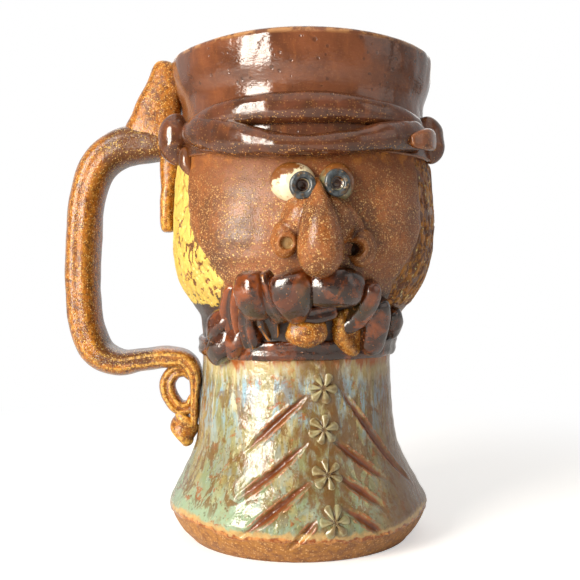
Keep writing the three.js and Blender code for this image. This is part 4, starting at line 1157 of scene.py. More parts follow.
HAIR_GRID = (190, 104)
HAIR_BACK = 179.6
HAIR_OVERLAP = 1.2
HAIR_SLAB = 2
SCRATCH_SHARPNESS = {"hair_left": 2.2, "hair_right": 1.6}
COLLAR_LEVEL = 65
CREASE_LEVEL = 65.4
COLLAR_RADIUS = 30
COLLAR_HALF_HEIGHT = 3.2
COLLAR_LIFT = 2.1
COLLAR_SEAT = 2.0


class MUG_OT_hair(bpy.types.Operator):
    """Wraps a scratched slab round each side of the head, from the face to the back"""

    bl_idname = "mug.hair"
    bl_label = "Hair"

    def execute(self, context):
        depth = context.scene.mug_clay.comb / MM
        finish = hair_slip(context.scene.mug_glazes)
        for name, sharpness in SCRATCH_SHARPNESS.items():
            slab = self.slab(name)
            points = points_of(slab)
            curls = np.abs(grain(points * np.array([1, 1, 0.45]), 3.0, 2, 6))
            curls = curls + 0.3 * np.abs(ripple(points, 1.7, 9))
            scratch = np.clip(0.55 - curls * sharpness, 0, 1) * 1.2
            swell(slab, grain(points, 8, 2, 2) * 0.3 - scratch * depth * 2)
            thicken(slab, HAIR_SLAB)
            set_mark(slab, "scratch", np.resize(scratch, len(slab.data.vertices)))
            fire(slab, "hair_slip", finish, name)
        return {"FINISHED"}

    def slab(self, name):
        slab, across, up = grid(name, *HAIR_GRID)
        level = between(HAIR_LOW_LEVEL, BROW_LEVEL - 0.6, up)
        left, right = hair_edges(level)
        if name == "hair_left":
            angle = between(-HAIR_BACK, left + HAIR_OVERLAP, across)
        else:
            angle = between(right - HAIR_OVERLAP, HAIR_BACK, across)
        rim = np.minimum(np.minimum(across, 1 - across) * 60, np.minimum(up, 1 - up) * 30)
        return lay_slab(slab, angle, level, 0.4 + 0.4 * fade(rim, 0, 1))


class MUG_OT_collar(bpy.types.Operator):
    """Rolls the flat collar that rings the neck"""

    bl_idname = "mug.collar"
    bl_label = "Collar"

    def execute(self, context):
        deselect()
        bpy.ops.mesh.primitive_torus_add(
            major_radius=COLLAR_RADIUS, minor_radius=3, major_segments=220, minor_segments=28
        )
        collar = named("collar")
        points = points_of(collar)
        turn = np.radians(angle_of(points))
        round_at = np.arctan2(points[:, 2], np.hypot(points[:, 0], points[:, 1]) - COLLAR_RADIUS)
        out, up = np.cos(round_at), np.sin(round_at)
        height = COLLAR_LEVEL + COLLAR_HALF_HEIGHT * np.sign(up) * np.abs(up) ** 0.7
        crease = 0.45 * np.exp(-(((height - CREASE_LEVEL) / 0.7) ** 2))
        proud, seated = COLLAR_LIFT * np.abs(out) ** 0.5 - crease, -COLLAR_SEAT * np.abs(out) ** 0.6
        lift = np.where(out > 0, proud, seated)
        wave = np.stack([np.cos(turn), np.sin(turn), height * 0], axis=1) * 33
        height = height + grain(wave, 9, 2, 1) * 0.5
        put_points(collar, round_mug(turn, thrown(height) + lift + grain(wave, 6, 2, 2) * 0.25, height))
        tidy_faces(collar)
        finish = treacle_glaze(context.scene.mug_glazes, "collar_glaze", 0.02)
        fire(collar, "treacle_glaze", finish, "collar", dents=0.12)
        return {"FINISHED"}


# Cap

BAND_LOW_LEVEL = 127
BAND_HIGH_LEVEL = 138.9
BAND_LIFT = 2.4
BAND_SLAB = 3


def along_band(levels, lifts):
    """Places at even steps from one end of the band to the other."""
    steps = np.linspace(0, 1, len(levels))
    return list(zip(between(BAND_LEFT + 4, BAND_RIGHT - 4, steps), levels, lifts))


# Each roll of the cap: name, its ball's points around and rings, its places as (angle, level,
# lift), half widths, half depths, share of the dents, seed of the dents, and how it is laid
CAP_ROLLS = [
    (
        "cap_roll", 40, 90,
        along_band([136.4, 137.6, 139.1, 139.4, 139.2, 138.1, 135.9], [1.8, 2.6, 3, 3, 2.8, 2.4, 1.6]),
        [3.6, 4.4, 4.9, 5, 4.6, 3.6, 2.6], [3.6, 4, 3.9, 3.9, 3.8, 3.6, 3], 1.2, 2, {"blunt": 3},
    ),
    (
        "cap_peak", 44, 100,
        along_band(
            [135.2, 133.6, 130.9, 128.2, 127.4, 129.2, 131.8, 133.6, 134.2],
            [2.6, 3.4, 3.9, 4, 3.8, 3.8, 3.8, 3.4, 2.4],
        ),
        [5.4, 6.6, 5.8, 4, 3.3, 3.8, 4.8, 5.4, 5], [3.2, 3.9, 4.3, 4.6, 4.6, 4.5, 4.1, 3.5, 2.8],
        1.5, 3, {"blunt": 3},
    ),
    (
        "cap_knot_left", 36, 40,
        beside(BAND_LEFT, [(0.5, 142.4, 3.4), (0.5, 137, 4.6), (1, 130.8, 4.2), (3, 125, 2.2)]),
        [4.6, 6, 5.6, 2.8], [4, 5, 5, 3], 1.6, 4, {"blunt": 2.6},
    ),
    (
        "cap_knot_right", 36, 40,
        beside(BAND_RIGHT, [(-2, 142, 1.3), (-0.5, 137.5, 2.2), (0, 131.5, 2.3), (-2, 126.6, 1.6)]),
        [4.2, 5.5, 5.5, 3.6], [4, 5, 5, 3], 1.6, 4, {"blunt": 2.6},
    ),
    (
        "cap_tail_left", 30, 30,
        beside(BAND_LEFT, [(7, 130.3, 1.8), (9, 126, 2.2), (11.5, 120.8, 0.8)]),
        [3.4, 3, 1.4], [3, 2.4, 1.4], 1, 5, {},
    ),
    (
        "cap_fold_right", 30, 30,
        beside(BAND_RIGHT, [(-30, 130.4, 6.8), (-21, 131.8, 7.2), (-11, 132.6, 5.6)]),
        [2.4, 3.5, 3.6], [1.5, 1.8, 1.7], 0.5, 6, {"blunt": 4, "square": 3},
    ),
]


class MUG_OT_cap(bpy.types.Operator):
    """Folds the cap's band: a roll above, a peak below, and a knot at each end"""

    bl_idname = "mug.cap"
    bl_label = "Cap"

    def execute(self, context):
        glazes = context.scene.mug_glazes
        dent = context.scene.mug_clay.dent / MM
        finish = cap_glaze(glazes)
        band, across, up = grid("cap_band", 150, 24)
        angle, level = between(BAND_LEFT, BAND_RIGHT, across), between(BAND_LOW_LEVEL, BAND_HIGH_LEVEL, up)
        lay_slab(band, angle, level, BAND_LIFT)
        thicken(band, BAND_SLAB)
        fire(band, "cap_glaze", finish, "cap_band", dents=dent * 0.5)
        peach = cap_glaze(glazes, "fold_glaze", 0.3, "9a5c38")
        for name, around, rings, places, widths, depths, share, seed, how in CAP_ROLLS:
            coat = "cap_glaze", peach if name == "cap_fold_right" else finish
            roll(name, around, rings, wall_path(places), widths, depths, coat, dent * share, seed, **how)
        return {"FINISHED"}


# Handle

# The strap's line, as shares of its reach and its height, then its landing on the chest, as its
# rise above the low end and its lift off the wall, both in half depths of the strap
GRIP_LINE = [
    (0.22, 1), (0.59, 0.985), (0.84, 0.9), (0.965, 0.755), (1, 0.585), (1, 0.415), (0.97, 0.265),
    (0.895, 0.14), (0.75, 0.04), (0.53, 0), (0.3, 0.012), (0.04, 0.025),
]
LANDING_LINE = [(0.17, 1.1), (-0.69, 0.52), (-2.24, 0.4), (-3.97, 0.28)]
GRIP_DEPTH = 5.8
GRIP_WIDTH = 9.5
GRIP_DEPTH_SWELLS = [1.2, 1.15, 1.25, 1.1, 1, 1, 1, 1, 0.97, 0.95, 0.85, 0.7, 0.68, 0.5, 0.36, 0.32]
GRIP_WIDTH_SWELLS = [1.1, 1.05, 1, 1, 1, 1, 1, 1, 1, 0.98, 0.95, 0.9, 0.85, 0.8, 0.7, 0.6]
# The thumb rest's places, as how far it is out from the cap's waist and its share of the rise
REST_LINE = [(10.8, -0.08), (9.2, 0.33), (7, 0.7)]
STRIP_LENGTH = 28
CURL_LINE = [
    (0.75, 0.45), (0.2, 0.85), (-0.5, 0.8), (-1, 0.3),
    (-0.85, -0.35), (-0.2, -0.9), (0.55, -0.85), (0.72, -0.3),
]
CURL_HALF_SPAN = 5.2
CURL_HALF_HEIGHT = 7.4
TAIL_LINE = [(0.8, -7.1), (-0.4, -13), (-2.4, -19.6)]


def handle_path(places, count):
    """A smooth line through places, each as (distance out to the handle's side, level)."""
    return smooth_line(np.array([(-out, 0, level) for out, level in places], float), count)


def grip_path():
    places = [(HEAD_RADIUS - WALL, HANDLE_TOP_LEVEL)]
    for out, up in GRIP_LINE:
        level = between(HANDLE_LOW_LEVEL, HANDLE_TOP_LEVEL, up)
        places.append((between(HEAD_RADIUS, HANDLE_REACH - 0.6, out), level))
    for rise, lift in LANDING_LINE:
        level = HANDLE_LOW_LEVEL + rise * GRIP_DEPTH
        places.append((thrown(level) + lift * GRIP_DEPTH, level))
    return handle_path(places, 400)


class MUG_OT_handle(bpy.types.Operator):
    """Pulls the handle's strap and adds its thumb rest, strip, curl and twisted tail"""

    bl_idname = "mug.handle"
    bl_label = "Handle"

    def execute(self, context):
        dent = context.scene.mug_clay.dent / MM
        coat = "amber_glaze", amber_glaze(context.scene.mug_glazes)
        strap = ball("handle", 48, 190)
        widths = np.array(GRIP_WIDTH_SWELLS) * GRIP_WIDTH
        depths = np.array(GRIP_DEPTH_SWELLS) * GRIP_DEPTH
        lay_roll(strap, grip_path(), widths, depths, out_of_loop, blunt=5, square=2.3, furrow=0.07)
        refine(strap)
        points = points_of(strap)
        out = -points[:, 0]
        # Marks the strap's inner side for a painted shade
        set_mark(strap, "inner_shade", fade(70.5 - out, 0, 4) * (points[:, 2] > HANDLE_LOW_LEVEL) * (out > 50))
        fire(strap, *coat, "handle", dents=dent * 0.8, seed=1)

        rise = RIM_LEVEL - HANDLE_TOP_LEVEL
        places = [(CAP_WAIST_RADIUS + out, HANDLE_TOP_LEVEL + rise * up) for out, up in REST_LINE]
        path = handle_path([*places, (RIM_RADIUS + 2.8, RIM_LEVEL + 1.1)], 120)
        roll(
            "thumb_rest", 44, 60, path, [9.3, 7.9, 6.1, 4.5], [14.2, 9.3, 6.6, 4.4], coat, dent, 2,
            facing=out_of_loop, blunt=4, square=2.9,
        )

        top = HANDLE_TOP_LEVEL - 2.9
        path = wall_path([(-90, top - STRIP_LENGTH * share, 3.2) for share in (0, 0.5, 1)])
        roll(
            "handle_top_strip", 36, 40, path, [7.5, 6.8, 6], [5, 2.9, 3], coat, dent, 3,
            blunt=4, square=2.4, channel=0.12,
        )

        landing = thrown(HANDLE_LOW_LEVEL - 7.6) + GRIP_DEPTH + 1.5
        level = HANDLE_LOW_LEVEL - 9.1
        places = [(landing - a * CURL_HALF_SPAN, level + b * CURL_HALF_HEIGHT) for a, b in CURL_LINE]
        path = handle_path(places, 200)
        roll(
            "handle_curl", 30, 110, path, [3.8, 4.4, 4.3, 3.7], [2.6, 2.9, 2.9, 2.5], coat, dent * 0.7, 4,
            facing=out_of_loop, blunt=4, furrow=0.28,
        )

        tail = ball("handle_tail", 36, 50)
        path = handle_path([(landing + out, level + up) for out, up in TAIL_LINE], 80)
        lay_roll(tail, path, [3.1, 4.5, 3.5], [3.3, 4.3, 3.5], out_of_loop)
        points = points_of(tail)
        twist = np.arctan2(points[:, 1], points[:, 0] + landing) * 2 + points[:, 2] * 0.75
        swell(tail, np.sin(twist) * 0.75)
        refine(tail)
        fire(tail, *coat, "handle_tail", dents=dent, seed=5)
        return {"FINISHED"}


# Face

# Each eye: side, seed, angle, half width, its glaze (from where to where the brown lid fades,
# the milky colour and its stain) and where it looks (angle, level)
EYES = [
    ("left", 2, -4.2, 7.0, (0.42, 0.66, "efe2bd", 0.25), (-0.4, 115.2)),
    ("right", 4, 12.4, 5.6, (-0.1, 0.35, "7b7a5c", 0.9), (11.2, 116)),
]
EYE_HALF_HEIGHT = 6.1
EYE_HALF_DEPTH = 5.2
GAZE_LIFT = 6.7
PUPIL_RADIUS = 2.5
PUPIL_DEPTH = 1.3
IRIS_RADIUS = 2.95
IRIS_HALF = 1.1
# Each nostril: angle, level, radius, depth and the mark that its glaze reads
NOSTRILS = [(-5.4, 98.2, 1.8, 1.5, "filled"), (18.2, 96.6, 2.1, 4.4, "open_nostril_shade")]
NOSE_HALF = 7.3
NOSE_REACH = 17.4
NOSE_WIDTH_SWELLS = [0.3, 0.42, 0.66, 0.92, 1.08, 1.02]
NOSE_DEPTH_SWELLS = [0.5, 0.62, 0.85, 1.02, 1.12, 1]
NOSE_VOXEL = 0.36
NOSE_SMOOTHING = 14
WING_HALF = (4.6, 6, 4.6)


class MUG_OT_eyes(bpy.types.Operator):
    """Presses the two eyes beside the nose, each with a ring of clay for its iris"""

    bl_idname = "mug.eyes"
    bl_label = "Eyes"

    def execute(self, context):
        finish = iris_glaze(context.scene.mug_glazes)
        for side, seed, angle, half_width, coat, sight in EYES:
            eye = ball("eye_" + side, 64, 44)
            press_ball(eye, angle, EYE_LEVEL, 1.6, (half_width, EYE_HALF_HEIGHT, EYE_HALF_DEPTH))
            points = points_of(eye)
            gaze = off_wall(*sight, GAZE_LIFT)
            away = points - gaze
            aside, up = away @ across_and_out(angle)[0], away[:, 2]
            front = fade(np.hypot(points[:, 0], points[:, 1]) - wall_radius(angle, EYE_LEVEL), 2, 4)
            pupil = fade(PUPIL_RADIUS - np.hypot(aside, up), 0, 0.9) * front
            swell(eye, -PUPIL_DEPTH * pupil)
            set_mark(eye, "pupil", pupil)
            set_mark(eye, "lid", up * 0.09 - aside * 0.05 * (1 if side == "left" else -1))
            white = eye_glaze("eye_glaze_" + side, *coat)
            fire(eye, "eye_glaze", white, "eye_" + side, dents=0.15, seed=seed)
            self.iris(side, gaze, sight[0], finish)
        return {"FINISHED"}

    def iris(self, side, gaze, angle, finish):
        deselect()
        bpy.ops.mesh.primitive_torus_add(
            major_radius=IRIS_RADIUS, minor_radius=IRIS_HALF, major_segments=72, minor_segments=24,
            rotation=(math.pi / 2, 0, 0),
        )
        iris = named("iris_" + side)
        bpy.ops.object.transform_apply(location=False, rotation=True, scale=False)
        points = points_of(iris)
        points[:, 1] *= 0.9
        points[:, 2] *= 1.06
        across, out = across_and_out(angle)
        placed = gaze + across * points[:, :1] - out * (points[:, 1:2] + 0.25)
        placed[:, 2] += points[:, 2]
        put_points(iris, placed)
        tidy_faces(iris)
        fire(iris, "iris_glaze", finish, "iris_" + side, dents=0.22, seed=8)


class MUG_OT_nose(bpy.types.Operator):
    """Models the nose: bulb, bridge and wings in one mass of clay, with two nostrils"""

    bl_idname = "mug.nose"
    bl_label = "Nose"

    def execute(self, context):
        bridge = EYE_LEVEL + 1.5
        parts = [ball("nose", 40, 50)]
        path = wall_path([
            (FACE_ANGLE - 0.6, bridge, 2.2),
            (FACE_ANGLE, between(NOSE_LEVEL, bridge, 0.62), NOSE_REACH - NOSE_HALF * 1.6),
            (FACE_ANGLE, between(NOSE_LEVEL, bridge, 0.22), NOSE_REACH - NOSE_HALF * 1.15),
            (FACE_ANGLE + 0.6, NOSE_LEVEL - NOSE_HALF * 0.35, NOSE_REACH - NOSE_HALF * 1.15),
            (FACE_ANGLE + 0.8, NOSE_LEVEL - NOSE_HALF * 1.3, NOSE_REACH - NOSE_HALF * 1.7),
        ])
        widths, depths = np.array([NOSE_WIDTH_SWELLS, NOSE_DEPTH_SWELLS]) * NOSE_HALF
        lay_roll(parts[0], path, widths, depths, blunt=2.3)
        for side, way, angle, level in (("left", -1, -6.6, 99.6), ("right", 1, 22.2, 97)):
            wing = ball("wing_" + side, 32, 30)
            parts.append(press_ball(wing, angle, level, 2.4, WING_HALF))
            edge = ball("edge_" + side, 24, 30)
            top = (FACE_ANGLE + way * 1.5, 114.5, 2.4)
            path = wall_path([top, (FACE_ANGLE + way * 8.5, 109.6, 2.2), (angle, level + 4, 1.6)])
            parts.append(lay_roll(edge, path, [1.6, 2.6, 3.4], [2.4, 3, 3.2]))
            web = ball("web_" + side, 24, 30)
            low = (FACE_ANGLE + way * 9.6, level + 1, 2.2)
            path = wall_path([top, (FACE_ANGLE + way * 5.4, 107, 3), low])
            parts.append(lay_roll(web, path, [2.4, 5.4, 5.8], [3.2, 5.2, 4.6]))
        nose = self.join(parts)
        self.press_nostrils(nose)
        finish = face_glaze(context.scene.mug_glazes)
        fire(nose, "face_glaze", finish, "nose", "nose_wing_left", "nose_wing_right", dents=0.12)
        return {"FINISHED"}

    def join(self, parts):
        deselect()
        for part in parts:
            part.select_set(True)
        bpy.context.view_layer.objects.active = parts[0]
        bpy.ops.object.join()
        nose = bpy.context.object
        merge = nose.modifiers.new("One mass", "REMESH")
        merge.mode = "VOXEL"
        merge.voxel_size = NOSE_VOXEL
        bpy.ops.object.modifier_apply(modifier=merge.name)
        soft = nose.modifiers.new("Smoothed seams", "SMOOTH")
        soft.iterations = NOSE_SMOOTHING
        soft.factor = 0.5
        bpy.ops.object.modifier_apply(modifier=soft.name)
        return nose

    def press_nostrils(self, nose):
        """Presses in each nostril, with the clay that it pushes up round it."""
        points = points_of(nose)
        for angle, level, radius, deep, mark in NOSTRILS:
            middle = off_wall(angle, level, 5)
            out = middle - off_wall(angle, level)
            out /= np.linalg.norm(out)
            away = points - middle
            gap = np.linalg.norm(away - (away @ out)[:, None] * out, axis=1)
            front = (away @ out) > -4.5
            press = fade(radius + 0.5 - gap, 0, 1.1) * front
            rim = np.exp(-(((gap - radius - 0.9) / 0.7) ** 2)) * front
            points = points + out * (rim * 0.35 - press * deep)[:, None]
            set_mark(nose, mark, fade(radius + 0.2 - gap, 0, 0.7) * front)
        put_points(nose, points)


# Each fold: name, glaze, its places as (angle from the face's middle, level, lift), half widths,
# half depths, how far its low end is pressed in, how far it leans, and its channel's depth
FOLDS = [
    (
        "lip_lower", "amber", [(-10, 72.2, 2), (-1, 70.8, 3.2), (8, 72.2, 2)],
        [3.4, 4.6, 3.6], [4.6, 5.4, 4.6], 0, 0, 0,
    ),
    (
        "lip_upper", "treacle", [(-8, 78.2, 2), (-1, 76.6, 2.6), (12, 78.4, 2)],
        [2.6, 3.4, 2.8], [4, 4.4, 4], 0, 0, 0.2,
    ),
    (
        "moustache_left_1", "warm", [(-10.4, 90.2, 2.2), (-8.4, 84, 3.2), (-5.2, 75.6, 2)],
        [6.8, 7.2, 5.4, 3], [5, 6.2, 5], 0, -10, 0,
    ),
    (
        "moustache_left_2", "treacle", [(-20, 90, 1.6), (-17.2, 83, 2.4), (-12, 74.8, 1.8)],
        [2.6, 3.4, 2.8], [4, 4.6, 4], 0, -24, 0.15,
    ),
    (
        "moustache_left_3", "warm", [(-25, 90, 1.4), (-25.4, 84, 2.6), (-23.2, 76.4, 1.6)],
        [4.6, 5.4, 4.4], [4.8, 6, 4.6], 0, -8, 0,
    ),
    (
        "moustache_left_4", "treacle", [(-22.6, 80.2, 1.8), (-20.4, 74.8, 2.6), (-17.6, 68.8, 2)],
        [2.8, 3.9, 2.6], [3.4, 4.2, 3.2], 0.25, 16, 0.55,
    ),
    (
        "moustache_left_5", "treacle", [(-28.6, 82.6, 1.8), (-29.4, 75, 2.6), (-28.4, 65.8, 1.8)],
        [2.6, 3.3, 3.1], [3.8, 4.6, 4], 0.12, -10, 0.3,
    ),
    (
        "moustache_left_6", "amber_brown", [(-33.6, 85.4, 0.8), (-37.4, 78.4, 1.8), (-37.6, 69.4, 1.6)],
        [3.4, 4.6, 3], [3.6, 4.6, 3.8], 0.2, -14, 0.45,
    ),
    (
        "moustache_right_1", "treacle", [(-2.6, 83.4, 2.2), (8, 85.4, 3.2), (19.4, 84.4, 2)],
        [5.6, 6.3, 5.8], [5.2, 6, 5], 0, 0, 0,
    ),
    (
        "moustache_right_2", "warm", [(22, 87.4, 2), (24, 80.6, 3), (22, 74.6, 2.6), (16.4, 72, 2)],
        [3.2, 3.9, 3.5, 2.6], [4.8, 5.2, 4.2, 3.6], 0, 8, 0,
    ),
    (
        "moustache_right_3", "amber", [(15, 78, 1), (21, 70.8, 1.6), (31, 64.6, 1)],
        [2.8, 4.9, 4.2], [2.8, 3.4, 2.8], 0, 12, 0.35,
    ),
    (
        "moustache_right_4", "treacle", [(30.4, 81.6, 1.8), (34.2, 73.6, 2.8), (37, 63.6, 2)],
        [4.2, 5, 5, 4.2], [4.8, 5.8, 4.6], 0.16, -6, 0,
    ),
    (
        "beard_left_1", "treacle", [(-40, 77, 1), (-49, 73, 2), (-59.6, 68.2, 1)],
        [3.6, 5, 2.8], [4, 4.8, 3], 0, -8, 0,
    ),
    (
        "beard_left_2", "treacle", [(-40, 71.2, 1), (-48.4, 66, 2), (-56.6, 61, 1.2)],
        [3.6, 5, 3.6], [3.8, 4.8, 3.6], 0, 12, 0,
    ),
    (
        "beard_left_3", "warm", [(-34.4, 73.4, 0.8), (-39, 68.2, 1.8), (-43.2, 62.4, 1.2)],
        [3.2, 4.4, 3.2], [3.2, 4, 3.2], 0, 0, 0,
    ),
    (
        "beard_right_1", "treacle", [(47.6, 77.8, 0.6), (52.6, 73.4, 1.8), (58.8, 68.4, 1)],
        [3, 3.9, 2.6], [3.6, 4.2, 3], 0, 0, 0,
    ),
]


class MUG_OT_moustache(bpy.types.Operator):
    """Lays the folded straps of the moustache, the lips and the tufts at the jaw"""

    bl_idname = "mug.moustache"
    bl_label = "Moustache"

    def execute(self, context):
        glazes = context.scene.mug_glazes
        dent = context.scene.mug_clay.dent / MM
        finishes = {
            "treacle": treacle_glaze(glazes),
            "warm": treacle_glaze(glazes, "warm_treacle_glaze", 0.08),
            "amber": amber_glaze(glazes, "lip_glaze", 0.3),
            "amber_brown": treacle_glaze(glazes, "shell_glaze", 0.2),
        }
        for index, (name, kind, places, widths, depths, hollow, lean, channel) in enumerate(FOLDS):
            coat = "amber_glaze" if kind == "amber" else "treacle_glaze", finishes[kind]
            path = wall_path(beside(FACE_ANGLE, places))
            roll(
                name, 40, 44, path, widths, depths, coat, dent * 1.4, index,
                blunt=4.5, square=2.7, hollow=hollow, lean=lean, channel=channel,
            )
        return {"FINISHED"}


# Buttons

PETALS = 6
BUTTON_RADIUS = 4.9
BUTTON_HEIGHT = 1.6
PETAL_CUT = 0.9
PETAL_WAIST = 0.16
PAD_SIDES = 84
PAD_RINGS = 16
PAD_STEP = 0.058


class MUG_OT_buttons(bpy.types.Operator):
    """Presses the four buttons with a flower stamp"""

    bl_idname = "mug.buttons"
    bl_label = "Buttons"

    def execute(self, context):
        finish = button_glaze(context.scene.mug_glazes)
        for number, level in enumerate(BUTTON_LEVELS, 1):
            name = "button_%d" % number
            button = self.pad(name)
            points = points_of(button)
            ring, top = np.hypot(points[:, 0], points[:, 1]), points[:, 2] > 0
            spin = np.arctan2(points[:, 0], points[:, 1])
            turn = spin + number * 0.4
            petal = 0.5 + 0.5 * np.cos(turn * PETALS + 0.6 * np.sin(turn + number))
            cut = (1 - petal) ** 2.5 * fade(ring, 0.12, 0.4)
            heart = 0.5 * np.exp(-((ring / 0.16) ** 2))
            height = 0.3 + BUTTON_HEIGHT * (1 - ring**2 * 0.5) - PETAL_CUT * cut - heart
            reach = ring * BUTTON_RADIUS * (1 - PETAL_WAIST * (1 - petal))
            reach = reach * (1 + 0.05 * np.sin(turn * 2 + number))
            across, up = np.sin(spin) * reach, np.cos(spin) * reach
            angle = BUTTON_ANGLE + np.degrees(across / wall_radius(BUTTON_ANGLE, level))
            put_points(button, off_wall(angle, level + up, np.where(top, height, -1.2)))
            tidy_faces(button)
            fire(button, "button_glaze", finish, name, dents=0.35, seed=number)
        return {"FINISHED"}

    def pad(self, name):
        """A flat round pad with enough rings for its petals."""
        deselect()
        bpy.ops.mesh.primitive_cylinder_add(vertices=PAD_SIDES, radius=1, depth=1, end_fill_type="NGON")
        pad = named(name)
        select_faces(pad, lambda c: c[:, 2] > 0.4)
        for _ in range(PAD_RINGS):
            bpy.ops.mesh.inset(thickness=PAD_STEP, depth=0)
        bpy.ops.mesh.poke()
        bpy.ops.object.mode_set(mode="OBJECT")
        return pad


# Stage

# Each lamp: name, azimuth, elevation, distance, size, power, tint and how far it stands aside.
# The first two are the panes of one window
LAMPS = [
    ("window_left", -42, 12, 0.75, (0.125, 0.6), 4.9, (1.0, 0.94, 0.84), -0.073),
    ("window_right", -42, 12, 0.75, (0.125, 0.6), 4.9, (1.0, 0.94, 0.84), 0.073),
    ("sky", -10, 70, 1.1, (1.3, 1.3), 3.0, (1.0, 0.95, 0.88), 0),
    ("fill", 68, 18, 1.1, (0.6, 0.8), 1.1, (1.0, 0.9, 0.84), 0),
    ("behind", 180, 35, 1.2, (1.2, 0.9), 3.2, (1.0, 0.98, 0.95), 0),
]
LAMP_AIM = Vector((0, 0, 0.085))
PAPER_SIZE = 8
PAPER_LEVEL = -0.0002
ROOM_TINT = (1, 0.95, 0.88)
ROOM_LIGHT = 0.2
PAPER_GLOW = 0.5
CAMERA_PLACE = (0, -0.305, 0.08733)
CAMERA_LENS = 53.63
CAMERA_SHIFT = (-12 / 580, -10 / 580)


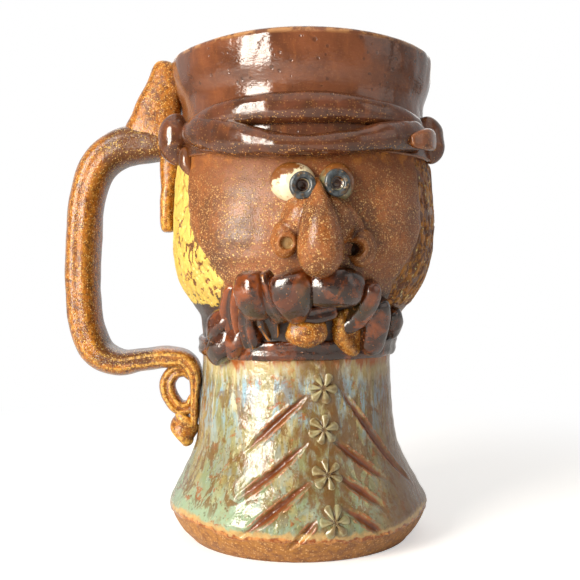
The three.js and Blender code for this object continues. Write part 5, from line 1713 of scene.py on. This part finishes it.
class MUG_OT_stage(bpy.types.Operator):
    """Sets the floor, the window light, the fill lights, the world and the camera"""

    bl_idname = "mug.stage"
    bl_label = "Stage"

    def execute(self, context):
        scene = context.scene
        scene.view_settings.view_transform = "Standard"
        deselect()
        bpy.ops.mesh.primitive_plane_add(size=PAPER_SIZE, location=(0, 0, PAPER_LEVEL))
        floor = named("floor")
        floor.data.materials.append(self.paper())
        for lamp in LAMPS:
            self.lamp(*lamp)
        self.world(scene)
        self.camera(scene)
        return {"FINISHED"}

    def lamp(self, name, azimuth, elevation, distance, size, power, tint, aside):
        """A soft rectangle of light at an angle round the mug, aimed at its middle."""
        deselect()
        turn, rise = math.radians(azimuth), math.radians(elevation)
        away = Vector((math.sin(turn) * math.cos(rise), -math.cos(turn) * math.cos(rise), math.sin(rise)))
        across = Vector((math.cos(turn), math.sin(turn), 0))
        bpy.ops.object.light_add(type="AREA", location=LAMP_AIM + away * distance + across * aside)
        lamp = named(name)
        lamp.data.shape = "RECTANGLE"
        lamp.data.size, lamp.data.size_y = size
        lamp.data.energy = power
        lamp.data.color = tint
        lamp.rotation_euler = away.to_track_quat("Z", "Y").to_euler()

    def paper(self):
        """Pale paper that stays white to the camera and keeps the mug's shadow."""
        made = bpy.data.materials.new("paper")
        made.use_nodes = True
        tree = made.node_tree
        recipe = Recipe(tree)
        recipe.where = recipe.add("ShaderNodeTexCoord").outputs["Object"]
        shader = tree.nodes["Principled BSDF"]
        tint = recipe.over((0.8, 0.8, 0.8), (recipe.cloud(6.0), (0.84, 0.84, 0.84)))
        recipe.feed(shader.inputs["Base Color"], tint)
        recipe.feed(shader.inputs["Roughness"], 0.9)
        recipe.feed(shader.inputs["Specular IOR Level"], 0.1)
        glow = recipe.add("ShaderNodeEmission", {"Color": (1, 1, 1), "Strength": PAPER_GLOW})
        lit = recipe.add("ShaderNodeAddShader", {0: shader.outputs[0], 1: glow.outputs[0]})
        far = recipe.add("ShaderNodeEmission", {"Color": (1, 1, 1), "Strength": 1.0})
        reach = recipe.add("ShaderNodeVectorMath", {0: recipe.where}, operation="LENGTH").outputs["Value"]
        distant = recipe.step(reach, 0.12, 0.34)
        white = recipe.add("ShaderNodeMixShader", {0: distant, 1: lit.outputs[0], 2: far.outputs[0]})
        rays = recipe.add("ShaderNodeLightPath").outputs
        seen = recipe.most(rays["Is Camera Ray"], rays["Is Transmission Ray"])
        shown = recipe.add("ShaderNodeMixShader", {0: seen, 1: shader.outputs[0], 2: white.outputs[0]})
        recipe.feed(tree.nodes["Material Output"].inputs["Surface"], shown.outputs[0])
        return made

    def world(self, scene):
        """A dim warm room, with a white backdrop that only the camera and reflections see."""
        scene.world = bpy.data.worlds.new("studio")
        scene.world.use_nodes = True
        tree = scene.world.node_tree
        recipe = Recipe(tree)
        room = tree.nodes["Background"]
        recipe.feed(room.inputs["Color"], ROOM_TINT)
        recipe.feed(room.inputs["Strength"], ROOM_LIGHT)
        backdrop = recipe.add("ShaderNodeBackground", {"Color": (1, 1, 1), "Strength": 1.0})
        rays = recipe.add("ShaderNodeLightPath").outputs
        direction = recipe.add("ShaderNodeTexCoord").outputs["Generated"]
        facing = recipe.add("ShaderNodeSeparateXYZ", {0: direction}).outputs
        mirrored = recipe.times(rays["Is Glossy Ray"], recipe.step(facing[1], -0.2, 0.5, 0.05, 0.4))
        seen = recipe.most(rays["Is Camera Ray"], mirrored, rays["Is Transmission Ray"])
        shown = recipe.add("ShaderNodeMixShader", {0: seen, 1: room.outputs[0], 2: backdrop.outputs[0]})
        recipe.feed(tree.nodes["World Output"].inputs["Surface"], shown.outputs[0])

    def camera(self, scene):
        deselect()
        bpy.ops.object.camera_add(location=CAMERA_PLACE, rotation=(math.pi / 2, 0, 0))
        camera = named("camera")
        camera.data.sensor_width = 36
        camera.data.lens = CAMERA_LENS
        camera.data.shift_x, camera.data.shift_y = CAMERA_SHIFT
        camera.data.clip_start = 0.01
        scene.camera = camera


PIECES = (
    MUG_OT_vessel,
    MUG_OT_hair,
    MUG_OT_collar,
    MUG_OT_cap,
    MUG_OT_handle,
    MUG_OT_eyes,
    MUG_OT_nose,
    MUG_OT_moustache,
    MUG_OT_buttons,
    MUG_OT_stage,
)


class MUG_PT_panel(bpy.types.Panel):
    """Lists the mug's pieces, its glazes and the marks in its clay"""

    bl_label = "Face Mug"
    bl_idname = "MUG_PT_panel"
    bl_space_type = "VIEW_3D"
    bl_region_type = "UI"
    bl_category = "Face Mug"

    def draw(self, context):
        for settings in (context.scene.mug_clay, context.scene.mug_glazes):
            box = self.layout.box()
            for name in settings.__annotations__:
                box.prop(settings, name)
        for piece in PIECES:
            self.layout.operator(piece.bl_idname)


CLASSES = (MugGlazes, MugClay, *PIECES, MUG_PT_panel)


def register():
    for each in CLASSES:
        bpy.utils.register_class(each)
    bpy.types.Scene.mug_glazes = bpy.props.PointerProperty(type=MugGlazes)
    bpy.types.Scene.mug_clay = bpy.props.PointerProperty(type=MugClay)


def unregister():
    del bpy.types.Scene.mug_clay
    del bpy.types.Scene.mug_glazes
    for each in reversed(CLASSES):
        bpy.utils.unregister_class(each)


def main():
    register()
    bpy.ops.mug.vessel()
    bpy.ops.mug.hair()
    bpy.ops.mug.collar()
    bpy.ops.mug.cap()
    bpy.ops.mug.handle()
    bpy.ops.mug.eyes()
    bpy.ops.mug.nose()
    bpy.ops.mug.moustache()
    bpy.ops.mug.buttons()
    bpy.ops.mug.stage()


if __name__ == "__main__":
    main()
